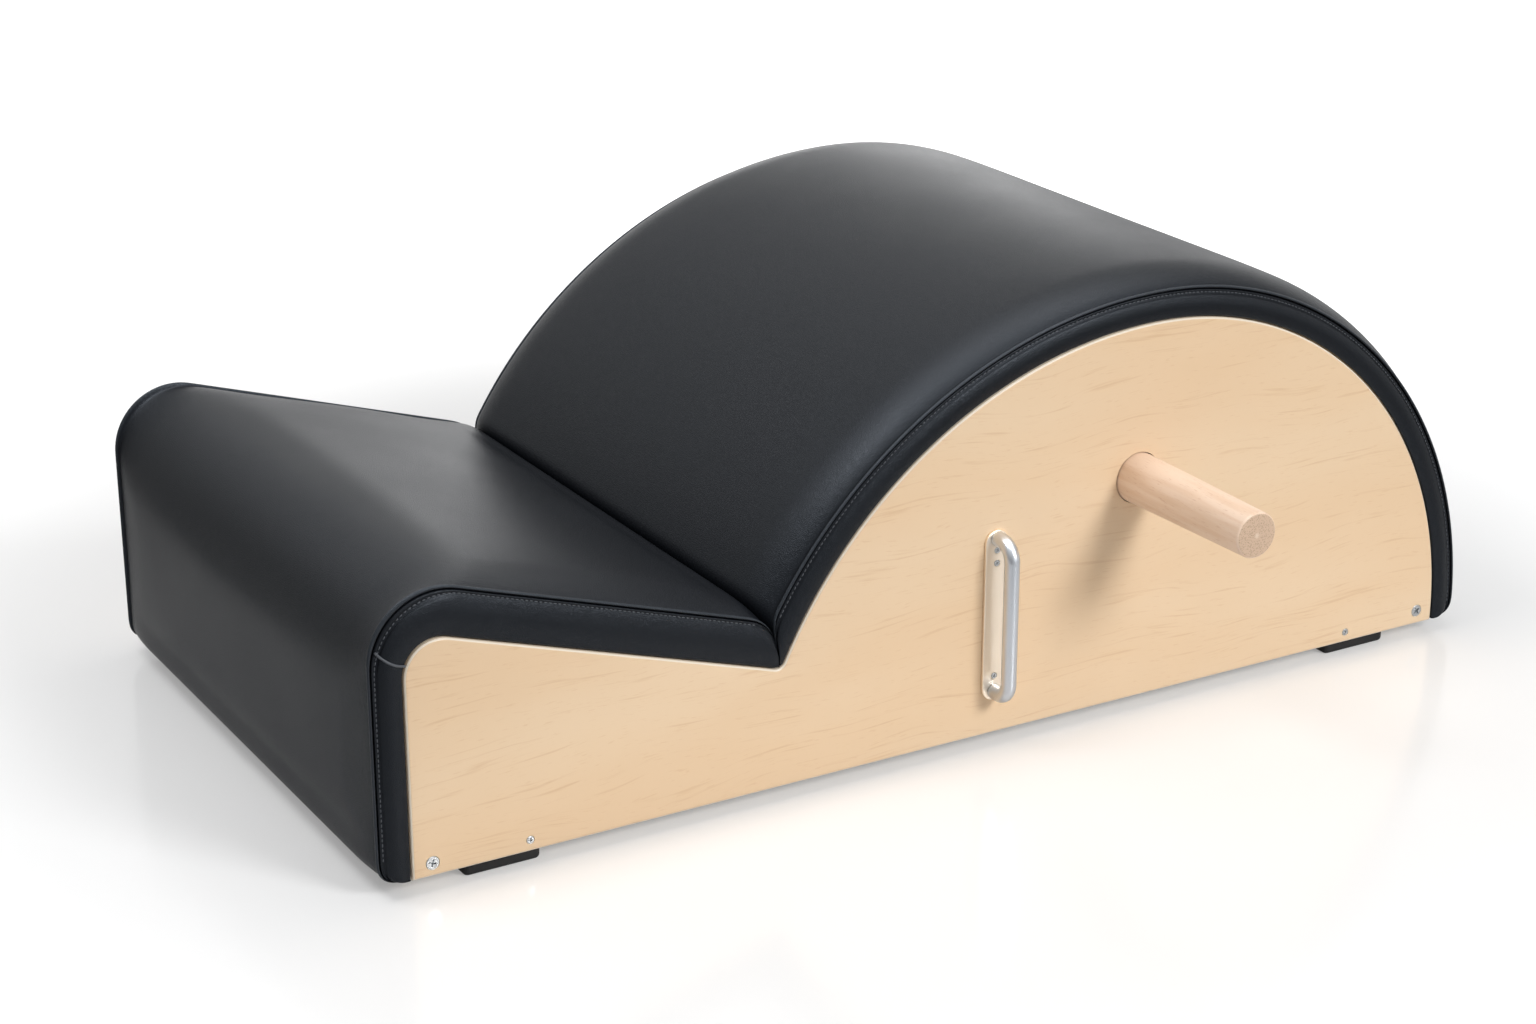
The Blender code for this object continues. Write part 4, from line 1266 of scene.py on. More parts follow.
    def closed(self, outside: np.ndarray) -> Mesh:
        """Closes the cushion under its outside.

        Args:
            outside: The outside's points.

        Returns:
            The cushion as one closed body, whose points know how near the seams and folds are.
        """
        shape = self.shape
        under = self.points(shape.under_columns())
        ring = np.concatenate([outside, under], axis=1)
        rows, across = ring.shape[:2]
        sides = [(c, (c + 1) % across, (c + 1) % across + across, c + across) for c in range(across)]
        faces = [tuple(r * across + c for c in side) for r in range(rows - 1) for side in sides]
        faces += [tuple(range(across)), tuple(range((rows - 1) * across, rows * across))]
        mesh = bpy.data.meshes.new(f"{self.name}_cushion")
        mesh.from_pydata(ring.reshape(-1, 3).tolist(), [], faces)
        seam_y = HALF_WIDTH - shape.seam_inset
        near = [exp(-(((abs(v.co.y) - seam_y) / shape.closeness_reach) ** 2)) for v in mesh.vertices]
        # on_fold marks the fold's columns, which the leatherette paints paler as a highlight.
        on_fold = [float(shape.is_fold(column)) for column in shape.full_columns()] + [0.0] * under.shape[1]
        told = {Leatherette.SEAM_ATTRIBUTE: near, Leatherette.FOLD_ATTRIBUTE: on_fold * rows}
        for name, values in told.items():
            mesh.attributes.new(name, "FLOAT", "POINT").data.foreach_set("value", values)
        builder = bmesh.new()
        builder.from_mesh(mesh)
        clean_up(builder)
        builder.to_mesh(mesh)
        builder.free()
        return mesh

    def build(self) -> Object:
        """Builds the cushion, dresses it and sews its seams.

        Returns:
            The cushion's object.
        """
        outside = self.outside()
        cushion = new_object(f"{self.name}_cushion", self.closed(outside), [LEATHERETTE])
        cushion.data.shade_smooth()
        rounding = cushion.modifiers.new("rounding", "SUBSURF")
        rounding.levels = rounding.render_levels = 1
        settle(cushion, "black_leatherette", f"{self.name}_cover", f"{self.name}_foam")
        self.stitch(outside)
        self.cross(outside)
        return cushion

    def cross(self, outside: np.ndarray) -> None:
        """Adds the seams that cross the side strips, which a pad in one run does without."""

    def stitch(self, outside: np.ndarray) -> None:
        """Sews the topstitching of both side strips, as one mesh.

        Args:
            outside: The cushion's outside.
        """
        columns = self.shape.full_columns()
        right = next(i for i, column in enumerate(columns) if column.extra == -self.shape.stitch_drop)
        lines = [outside[self.free_rows(), c] for c in (right, len(columns) - 1 - right)]
        for line in lines:
            line[:, 1] += np.sign(line[:, 1]) * self.thread_radius * 0.8
        half = len(lines[0])
        edges = [(i, i + 1) for start in (0, half) for i in range(start, start + half - 1)]
        guide = bpy.data.meshes.new(f"{self.name}_stitches")
        guide.from_pydata(np.concatenate(lines).tolist(), edges, [])
        stitches = new_object(f"{self.name}_stitches", guide)
        inputs = {
            "Pitch": self.stitch_pitch,
            "Stitch Length": self.stitch_length,
            "Thread Radius": self.thread_radius,
            "Seed": 7,
            "Thread": THREAD.material(),
        }
        run_geometry_nodes(stitches, stitch_tree(), inputs)
        stitches.data.shade_smooth()
        settle(stitches, "black_leatherette")


@dataclass(frozen=True)
class BarrelPad(Pad):
    """The cushion over the barrel, from the valley over the crown and down to the floor's edge."""

    name: str = "barrel"
    seam: float = 0.0200
    crown: float = 0.0350

    def line(self, column: PadColumn) -> list[Vector]:
        """Draws a column.

        Args:
            column: The column.

        Returns:
            Its side-view points, from the crease to the low end.
        """
        low = self.low_edge + column.inset
        radius = VIEW.seat_side_radius
        foot_angle = VIEW.fillet_angle - (self.foot_margin + column.inset) / radius
        foot = VIEW.seat_side_centre + (radius + column.floor) * Vector((cos(foot_angle), sin(foot_angle)))
        end_foot = Vector((VIEW.length + column.floor, low))
        standing = self.height(column)
        if column.is_hem:
            top = VIEW.barrel(standing, foot_angle, low)
            return self.crease_hem(foot, column.floor) + top + [end_foot] * self.crease_rows
        wall_low, corner = self.crease_wall(column)
        crease_reach, end_reach = self.crease_reach(column), self.low_reach(standing)
        start = VIEW.seat_side_angle(corner) - crease_reach / (radius + standing)
        top = VIEW.barrel(standing, start, low + end_reach)
        crease = rounded_corner(wall_low, corner, top[0], crease_reach, self.corner_facets)
        end_corner = Vector((VIEW.length + standing, low))
        end = rounded_corner(top[-1], end_corner, end_foot, end_reach, self.corner_facets)
        return self.walled(wall_low, crease, top, end[1:], end_foot)

    def free_rows(self) -> slice:
        """Returns the rows along the barrel's two arcs."""
        run = VIEW.seat_side_facets + VIEW.end_side_facets + 1
        return slice(self.crease_rows, self.crease_rows + run)


@dataclass(frozen=True)
class SeatPad(Pad):
    """The cushion over the seat, from the valley up the slope and down the seat end."""

    name: str = "seat"
    seam: float = 0.0310
    crown: float = 0.0400
    end_seam: float = 0.0210
    end_crown: float = 0.0270
    outer_corner_radius: float = 0.046
    crown_corner_growth: float = 0.016
    slope_swell: float = 0.0024
    easing: float = 0.020
    crease_side: int = -1
    side_crease_rounding: float = 0.019
    slope_facets: int = 34
    round_facets: int = 22
    end_facets: int = 22
    cross_seam: tuple[tuple[float, float], ...] = ((-0.0178, 0.1596), (-0.0100, 0.1492), (0.0016, 0.1470))
    cross_seam_radius: float = 0.0009
    cross_seam_lift: float = 0.0003
    cross_seam_steps: int = 14
    cross_seam_facets: int = 12
    strip_reach: float = 0.0025

    def line(self, column: PadColumn) -> list[Vector]:
        """Draws a column.

        Args:
            column: The column.

        Returns:
            Its side-view points, from the crease to the low end.
        """
        low = self.low_edge + column.inset
        inner = VIEW.seat_corner_radius
        growth = (self.outer_corner_radius - inner) * column.seam_share
        radius = inner + growth + self.crown_corner_growth * column.crown_share
        foot = VIEW.seat_line(VIEW.fillet_on_slope - self.foot_margin - column.inset, column.floor)
        end_foot = Vector((-column.floor, low))
        seat = self.height(column)
        seat_end = self.standing(column, self.end_seam, self.end_crown)
        corner = VIEW.seat_corner(seat_end, seat, radius, self.round_facets)[::-1]
        if column.is_hem:
            run = self.slope_line(foot, corner[0]) + corner + self.end_line(corner[-1], end_foot)
            return self.crease_hem(foot, column.floor) + run + [end_foot] * (self.crease_rows + 1)
        wall_low, crease_corner = self.crease_wall(column)
        crease_reach = self.crease_reach(column)
        crease = rounded_corner(wall_low, crease_corner, corner[0], crease_reach, self.corner_facets)
        end_corner = Vector((-seat_end, low))
        end = rounded_corner(corner[-1], end_corner, end_foot, self.low_reach(seat_end), self.corner_facets)
        slope = self.swollen(self.slope_line(crease[-1], corner[0]), column)
        run = self.let_out(slope + corner + self.end_line(corner[-1], end[0]), column)
        return self.walled(wall_low, crease, run, end, end_foot)

    def slope_line(self, start: Vector, end: Vector) -> list[Vector]:
        """Returns points from start up to, but not at, end."""
        return [start.lerp(end, i / self.slope_facets) for i in range(self.slope_facets)]

    def end_line(self, top: Vector, bottom: Vector) -> list[Vector]:
        """Returns points down the seat end between top and bottom."""
        return [top.lerp(bottom, (i + 1) / (self.end_facets + 2)) for i in range(self.end_facets + 1)]

    def swollen(self, slope: list[Vector], column: PadColumn) -> list[Vector]:
        """Returns the slope's points lifted a little halfway along, as a filled pad is."""
        lift = VIEW.slope_normal * (self.slope_swell * column.crown_share / 2)
        return [p + lift * (1 - cos(2 * pi * i / len(slope))) for i, p in enumerate(slope)]

    def let_out(self, run: list[Vector], column: PadColumn) -> list[Vector]:
        """Lets the corner's bend out into the slope and the end.

        Args:
            run: The side-view points from the crease to the low end's rounding.
            column: The column that they belong to, which is eased by its share of the crown.

        Returns:
            As many points, each moved toward the mean of those within easing of it.
        """
        places = np.array(run)
        along = np.append(0.0, np.cumsum(np.linalg.norm(np.diff(places, axis=0), axis=1)))
        near = np.exp(-(((along[:, None] - along) / self.easing) ** 2)) * np.gradient(along)
        mean = near @ places / near.sum(axis=1, keepdims=True)
        inside = np.clip(np.minimum(along, along[-1] - along) / (2 * self.easing), 0.0, 1.0)
        moved = places + (mean - places) * (column.crown_share * inside)[:, None]
        return [Vector(place) for place in moved]

    def cross(self, outside: np.ndarray) -> None:
        """Adds the cross seam of each side strip, where the slope's strip meets the end's.

        Args:
            outside: The cushion's outside.
        """
        start, middle, end = (Vector(point) for point in self.cross_seam)
        strip = outside[:, : self.shape.strip_facets + 3].reshape(-1, 3)
        builder = bmesh.new()
        for side in Side:
            path = []
            for point in bent(start, middle, end, self.cross_seam_steps):
                x, _, z = world(point.x, 0.0, point.y)
                away = (strip[:, 0] - x) ** 2 + (strip[:, 2] - z) ** 2
                near = np.exp(-(away / self.strip_reach**2))
                surface = abs(float((strip[:, 1] * near).sum() / near.sum()))
                path.append(Vector((x, side.value * (surface + self.cross_seam_lift), z)))
            sweep(builder, path, Vector((0, 1, 0)), self.cross_seam_radius, self.cross_seam_facets)
        # The seam's bead wears the grey thread finish, a painted highlight along the leather's cross seam.
        seams = new_object("seat_cross_seams", mesh_from("seat_cross_seams", builder), [THREAD])
        shade(seams)
        settle(seams, "black_leatherette")

    def free_rows(self) -> slice:
        """Returns the rows up the slope, round the corner and down the end."""
        run = self.slope_facets + self.round_facets + self.end_facets + 2
        return slice(self.crease_rows, self.crease_rows + run)


SEAT_PAD = SeatPad()
BARREL_PAD = BarrelPad()


# Geometry Nodes


def run_geometry_nodes(obj: Object, tree: NodeTree, inputs: dict[str, object]) -> None:
    """Runs a tree on an object and keeps the result as its plain mesh, in one material.

    Args:
        obj: The object whose mesh the tree starts from.
        tree: The Geometry Nodes tree.
        inputs: A value for each named input of the tree.
    """
    step = obj.modifiers.new(tree.name, "NODES")
    step.node_group = tree
    sockets = {item.name: item.identifier for item in tree.interface.items_tree if item.in_out == "INPUT"}
    for name, value in inputs.items():
        step[sockets[name]] = value
    apply_modifiers(obj)
    used = [material for material in obj.data.materials if material]
    obj.data.materials.clear()
    for material in used:
        obj.data.materials.append(material)
    obj.data.polygons.foreach_set("material_index", [0] * len(obj.data.polygons))


def start_tree(name: str, inputs: dict[str, str]) -> tuple[NodeTree, dict[str, NodeSocket]]:
    """Starts a Geometry Nodes tree.

    Args:
        name: The tree's name.
        inputs: The kind of each named input beside Geometry.

    Returns:
        The tree and what its inputs give, by name.
    """
    tree = bpy.data.node_groups.new(name, "GeometryNodeTree")
    for socket, kind in {"Geometry": "Geometry", **inputs}.items():
        tree.interface.new_socket(socket, in_out="INPUT", socket_type=f"NodeSocket{kind}")
    tree.interface.new_socket("Geometry", in_out="OUTPUT", socket_type="NodeSocketGeometry")
    return tree, dict(add_node(tree, "NodeGroupInput").outputs.items())


def finish_tree(tree: NodeTree, laid: dict[str, NodeSocket], material: NodeSocket) -> NodeTree:
    """Ends a tree in real geometry that carries a material.

    Args:
        tree: The tree.
        laid: The points, what is laid on each and how it is turned.
        material: The material.

    Returns:
        The tree.
    """
    made = add_node(tree, "GeometryNodeInstanceOnPoints", laid).outputs["Instances"]
    real = add_node(tree, "GeometryNodeRealizeInstances", {"Geometry": made}).outputs[0]
    dressed = add_node(tree, "GeometryNodeSetMaterial", {"Geometry": real, "Material": material}).outputs[0]
    add_node(tree, "NodeGroupOutput", {"Geometry": dressed})
    return tree


@cache
def stitch_tree() -> NodeTree:
    """Makes the tree that lays stitches of thread along the edges that it is given.

    Returns:
        The tree.
    """
    sizes = {"Pitch": "Float", "Stitch Length": "Float", "Thread Radius": "Float"}
    tree, given = start_tree("topstitching", {**sizes, "Seed": "Int", "Thread": "Material"})
    path = add_node(tree, "GeometryNodeMeshToCurve", {"Mesh": given["Geometry"]}).outputs["Curve"]
    spacing = {"Curve": path, "Length": given["Pitch"]}
    spaced = add_node(tree, "GeometryNodeResampleCurve", spacing, {"mode": "LENGTH"}).outputs["Curve"]
    tangent = add_node(tree, "GeometryNodeInputTangent").outputs[0]
    along = add_node(tree, "FunctionNodeAlignRotationToVector", {"Vector": tangent}).outputs["Rotation"]
    chance = {"Min": 0.92, "Max": 1.06, "Seed": given["Seed"]}
    wobble = add_node(tree, "FunctionNodeRandomValue", chance, FLOATS).outputs["Value"]
    half = add_node(tree, "ShaderNodeMath", {0: given["Stitch Length"], 1: 0.5}, MULTIPLY).outputs[0]
    radii = {"X": given["Thread Radius"], "Y": given["Thread Radius"], "Z": half}
    size = add_node(tree, "ShaderNodeCombineXYZ", radii).outputs[0]
    wobbly = {0: size, "Scale": wobble}
    grown = add_node(tree, "ShaderNodeVectorMath", wobbly, {"operation": "SCALE"}).outputs[0]
    ball = {"Segments": 8, "Rings": 6, "Radius": 1.0}
    bead = add_node(tree, "GeometryNodeMeshUVSphere", ball).outputs["Mesh"]
    laid = {"Points": spaced, "Instance": bead, "Rotation": along, "Scale": grown}
    return finish_tree(tree, laid, given["Thread"])


@cache
def screw_tree() -> NodeTree:
    """Makes the tree that sets a screw on each point, turned by chance about its own axis.

    Returns:
        The tree.
    """
    kinds = {"Screw": "Object", "Facing": "Vector", "Seed": "Int", "Plating": "Material"}
    tree, given = start_tree("screws_on_points", kinds)
    screw = add_node(tree, "GeometryNodeObjectInfo", {"Object": given["Screw"]}).outputs["Geometry"]
    points = add_node(tree, "GeometryNodeMeshToPoints", {"Mesh": given["Geometry"]}).outputs[0]
    chance = {"Min": 0.0, "Max": pi, "Seed": given["Seed"]}
    angle = add_node(tree, "FunctionNodeRandomValue", chance, FLOATS).outputs["Value"]
    spin = add_node(tree, "ShaderNodeCombineXYZ", {"Z": angle}).outputs[0]
    facing, spun = (
        add_node(tree, "FunctionNodeEulerToRotation", {"Euler": euler}).outputs[0]
        for euler in (given["Facing"], spin)
    )
    turns = {"Rotation": facing, "Rotate By": spun}
    turn = add_node(tree, "FunctionNodeRotateRotation", turns, {"rotation_space": "LOCAL"}).outputs[0]
    return finish_tree(tree, {"Points": points, "Instance": screw, "Rotation": turn}, given["Plating"])


# Wood, metal and rubber


@dataclass(frozen=True)
class ScrewKind:
    """A kind of countersunk cross-head screw and where each one sits, as (s, h) by node name."""

    name: str
    head_radius: float
    shank_radius: float
    length: float
    places: dict[str, tuple[float, float]]
    face_y: float = HALF_WIDTH
    rim: float = 0.0003
    clearance: float = 0.0004
    edge_share: float = 0.06
    recess_shares: Place = (1.15, 0.26, 0.9)

    def profile(self, clearance: float = 0.0, overrun: float = 0.0) -> Profile:
        """Draws the half outline.

        Args:
            clearance: How much wider it is, for a hole.
            overrun: How far it goes past the head's top, for a hole.

        Returns:
            The outline from the tip to the head's top.
        """
        head = self.head_radius + clearance
        shank = self.shank_radius + clearance
        neck = -(self.head_radius - self.shank_radius) - self.rim
        tip = -self.length - clearance
        return [(0, tip), (shank, tip), (shank, neck), (head, -self.rim), (head, overrun), (0, overrun)]

    def holes(self, side: Side) -> list[BMesh]:
        """Returns the bodies to cut for one side's screws."""
        profile, places = self.profile(self.clearance, CUT_OVERRUN), self.places.values()
        return [turned(profile, ROUND_FACETS, outward(side, s, h, self.face_y)) for s, h in places]

    def template(self) -> Object:
        """Makes one screw along +Z, with its cross recess, for the tree to copy.

        Returns:
            The screw.
        """
        head = self.head_radius
        edge = head * self.edge_share
        profile = self.profile()[:4] + [(head, -edge), (head - edge, 0.0), (0, 0.0)]
        name = f"{self.name}_template"
        screw = new_object(name, mesh_from(name, turned(profile, ROUND_FACETS, Matrix.Identity(4))), [ZINC])
        size = Matrix.Diagonal((*(head * share for share in self.recess_shares), 1.0))
        for turn in (0.0, pi / 2):
            blade = bmesh.new()
            bmesh.ops.create_cube(blade, size=1.0, matrix=Matrix.Rotation(turn, 4, "Z") @ size)
            cut(screw, [blade])
        shade(screw)
        return screw

    def build(self, side: Side, template: Object) -> None:
        """Sets this kind's screws into one side, as one mesh.

        Args:
            side: The side.
            template: The screw that is copied.
        """
        name = f"{side.word}_{self.name}s"
        guide = bpy.data.meshes.new(name)
        guide.from_pydata([world(s, side.value * self.face_y, h) for s, h in self.places.values()], [], [])
        screws = new_object(name, guide)
        facing = (-side.value * pi / 2, 0.0, 0.0)
        inputs = {"Screw": template, "Facing": facing, "Seed": 3, "Plating": ZINC.material()}
        run_geometry_nodes(screws, screw_tree(), inputs)
        shade(screws)
        settle(screws, "nickel_plate", *[f"{side.word}_{place}" for place in self.places])


PANEL_SCREW = ScrewKind(
    "panel_screw",
    head_radius=0.0045,
    shank_radius=0.0022,
    length=0.040,
    places={"front_panel_screw": (0.0139, 0.0094), "rear_panel_screw": (0.8250, 0.0107)},
)
PANEL_PIN = ScrewKind(
    "panel_pin",
    head_radius=0.0026,
    shank_radius=0.0014,
    length=0.032,
    places={"front_panel_pin": (0.0822, 0.0082), "rear_panel_pin": (0.7558, 0.0081)},
)
HANDLE_S = 0.4376
PLATE_THICKNESS = 0.0020
HANDLE_SCREW = ScrewKind(
    "handle_screw",
    head_radius=0.0022,
    shank_radius=0.0012,
    length=0.014,
    places={
        "handle_screw_low": (HANDLE_S, 0.0445),
        "handle_screw_middle": (HANDLE_S, 0.1280),
        "handle_screw_high": (HANDLE_S, 0.1374),
    },
    face_y=HALF_WIDTH + TOUCH_GAP + PLATE_THICKNESS,
)
SCREW_KINDS = (PANEL_SCREW, PANEL_PIN, HANDLE_SCREW)


@dataclass(frozen=True)
class GripPeg:
    """A turned peg that pulls out of its bore in a side panel."""

    s: float = 0.5563
    h: float = 0.1674
    root_radius: float = 0.0180
    end_radius: float = 0.0163
    reach: float = 0.130
    insertion: float = 0.080
    rounding: float = 0.0022
    straight_root: float = 0.004
    bore_radius: float = 0.0187
    facets: int = 72

    def place(self, side: Side) -> Matrix:
        """Returns where the peg's axis leaves a side's panel."""
        return outward(side, self.s, self.h, HALF_WIDTH)

    def bore(self, side: Side) -> BMesh:
        """Returns the body to cut for the peg's bore."""
        low, radius, high = -self.insertion, self.bore_radius, CUT_OVERRUN
        return turned([(0, low), (radius, low), (radius, high), (0, high)], self.facets, self.place(side))

    def build(self, side: Side) -> None:
        """Turns a peg and dresses it, with end grain on its two ends.

        Args:
            side: The side.
        """
        root, low, chamfer = self.root_radius, -self.insertion, self.rounding / 2
        centre = Vector((self.end_radius - self.rounding, self.reach - self.rounding))
        profile = [
            (0, low),
            (root - chamfer, low),
            (root, low + chamfer),
            (root, self.straight_root),
            *[tuple(p) for p in arc(centre, self.rounding, 0, pi / 2, 6)],
            (self.end_radius * 0.5, self.reach),
            (0, self.reach),
        ]
        name = f"{side.word}_turned_peg"
        mesh = mesh_from(name, turned(profile, self.facets, self.place(side)))
        x, _, z = world(self.s, 0.0, self.h)
        peg = new_object(name, mesh, [BEECH, BeechEndGrain(axis_place=(x, z))])
        shade(peg)
        for face in mesh.polygons:
            face.material_index = int(abs(face.normal.y) > 0.9)
        settle(peg, "peg_beech", f"{side.word}_grip_peg", body=f"{side.word}_peg")


@dataclass(frozen=True)
class SidePanel:
    """A side panel of 18 mm maple-faced plywood, its outer rim rounded over."""

    rounding: float = 0.0022
    inner_rounding: float = 0.0004

    def build(self, side: Side, peg: GripPeg) -> None:
        """Cuts a panel, bores it and dresses its faces and its edge.

        Args:
            side: The side.
            peg: The peg that it is bored for.
        """
        outer = side.value * HALF_WIDTH
        inner = side.value * (HALF_WIDTH - PANEL_THICKNESS)
        builder = extruded(VIEW.panel_outline(), *sorted((outer, inner)))
        round_rim(builder, 1, outer, self.rounding, 4)
        round_rim(builder, 1, inner, self.inner_rounding, 1)
        name = f"{side.word}_veneered_panel"
        panel = new_object(name, mesh_from(name, builder), [VENEER, PLY_EDGE])
        cut(panel, [peg.bore(side), *(hole for kind in SCREW_KINDS for hole in kind.holes(side))])
        # The rounded rim takes the edge finish, whose pale colour is partly a painted highlight.
        for face in panel.data.polygons:
            face.material_index = int(abs(face.normal.y) < 0.97)
        shade(panel)
        settle(panel, "panel_plywood", f"{side.word}_side_panel")


@dataclass(frozen=True)
class PlySkins:
    """The bent plywood under the cushions."""

    thickness: float = 0.004
    side_margin: float = 0.0040
    end_margin: float = 0.0030
    low_edge: float = 0.0050

    def barrel_line(self, offset: float) -> list[Vector]:
        """Returns the barrel skin's side-view line at an offset from the wood."""
        start = VIEW.fillet_angle - self.end_margin / VIEW.seat_side_radius
        return VIEW.barrel(offset, start, self.low_edge)

    def seat_line(self, offset: float) -> list[Vector]:
        """Draws the seat skin's side-view line.

        Args:
            offset: How far it is from the wood.

        Returns:
            The line, from the seat end to the valley.
        """
        corner = VIEW.seat_corner(offset, offset, VIEW.seat_corner_radius + offset, VIEW.corner_facets)
        end = VIEW.seat_line(VIEW.fillet_on_slope - self.end_margin)
        return [Vector((-offset, self.low_edge)), *corner, end + offset * VIEW.slope_normal]

    def build(self) -> None:
        """Bends both skins and dresses them."""
        reach = HALF_WIDTH - self.side_margin
        for name, line in (("barrel_skin", self.barrel_line), ("seat_skin", self.seat_line)):
            outline = line(TOUCH_GAP) + line(TOUCH_GAP + self.thickness)[::-1]
            mesh = mesh_from(f"bent_{name}", extruded(outline, -reach, reach))
            skin = new_object(f"bent_{name}", mesh, [SKIN_PLY])
            shade(skin)
            settle(skin, "frame_plywood", name)


@dataclass(frozen=True)
class InnerFrame:
    """The rib, boards, rails and socket blocks, whose CAD shapes are right as they are."""

    ribs: tuple[str, ...] = ("centre_rib",)
    boards: tuple[str, ...] = ("front_base_board", "rear_base_board", "seat_end_board")
    rails: tuple[str, ...] = ("valley_rail", "seat_side_stringer", "crown_stringer", "end_side_stringer")
    blocks: tuple[str, ...] = ("right_socket_block", "left_socket_block")

    def dress(self) -> None:
        """Gives each inner CAD node its wood."""
        woods = ((self.ribs, RIB_PLY), (self.boards, SKIN_PLY), (self.rails + self.blocks, PINE))
        for nodes, finish in woods:
            for node in nodes:
                for material_slot in frame["nodes"][node].material_slots:
                    material_slot.material = finish.material()


@dataclass(frozen=True)
class CarryHandle:
    """A D-shaped carry handle: a bent round bar on a back plate."""

    plate_low: float = 0.0265
    plate_high: float = 0.1520
    plate_width: float = 0.0185
    plate_rounding: float = 0.0007
    plate_facets: int = 24
    root_low: float = 0.0330
    root_high: float = 0.1460
    standoff: float = 0.0200
    bar_radius: float = 0.0054
    bend_radius: float = 0.0120
    bend_facets: int = 12

    def plate_outline(self) -> list[Vector]:
        """Draws the back plate, with round ends.

        Returns:
            Its outline.
        """
        radius, facets = self.plate_width / 2, self.plate_facets
        top = arc(Vector((HANDLE_S, self.plate_high - radius)), radius, 0, pi, facets)
        return top + arc(Vector((HANDLE_S, self.plate_low + radius)), radius, pi, 2 * pi, facets)

    def bar_path(self, side: Side) -> list[Vector]:
        """Draws the bar's centre line, which lies in a plane of constant x.

        Args:
            side: The side.

        Returns:
            Its points in the frame, from its low root to its high root.
        """
        root = PLATE_THICKNESS + 2 * TOUCH_GAP
        bend = self.bend_radius
        low = Vector((self.standoff - bend, self.root_low + bend))
        high = Vector((self.standoff - bend, self.root_high - bend))
        path = [
            Vector((root, self.root_low)),
            *arc(low, bend, -pi / 2, 0, self.bend_facets),
            *arc(high, bend, 0, pi / 2, self.bend_facets),
            Vector((root, self.root_high)),
        ]
        return [Vector(world(HANDLE_S, side.value * (HALF_WIDTH + p.x), p.y)) for p in path]

    def build(self, side: Side) -> None:
        """Makes the plate with its screw holes, and the bar.

        Args:
            side: The side.
        """
        near = side.value * (HALF_WIDTH + TOUCH_GAP)
        far = near + side.value * PLATE_THICKNESS
        builder = extruded(self.plate_outline(), *sorted((near, far)))
        round_rim(builder, 1, far, self.plate_rounding, 3)
        name = f"{side.word}_nickel_plate"
        plate = new_object(name, mesh_from(name, builder), [NICKEL])
        cut(plate, HANDLE_SCREW.holes(side))
        tube = bmesh.new()
        sweep(tube, self.bar_path(side), Vector((1, 0, 0)), self.bar_radius, ROUND_FACETS)
        name = f"{side.word}_bent_bar"
        bar = new_object(name, mesh_from(name, tube), [SATIN])
        for piece, node, slot in ((plate, "handle_plate", "nickel_plate"), (bar, "handle_bar", "satin_bar")):
            shade(piece)
            settle(piece, slot, f"{side.word}_{node}")


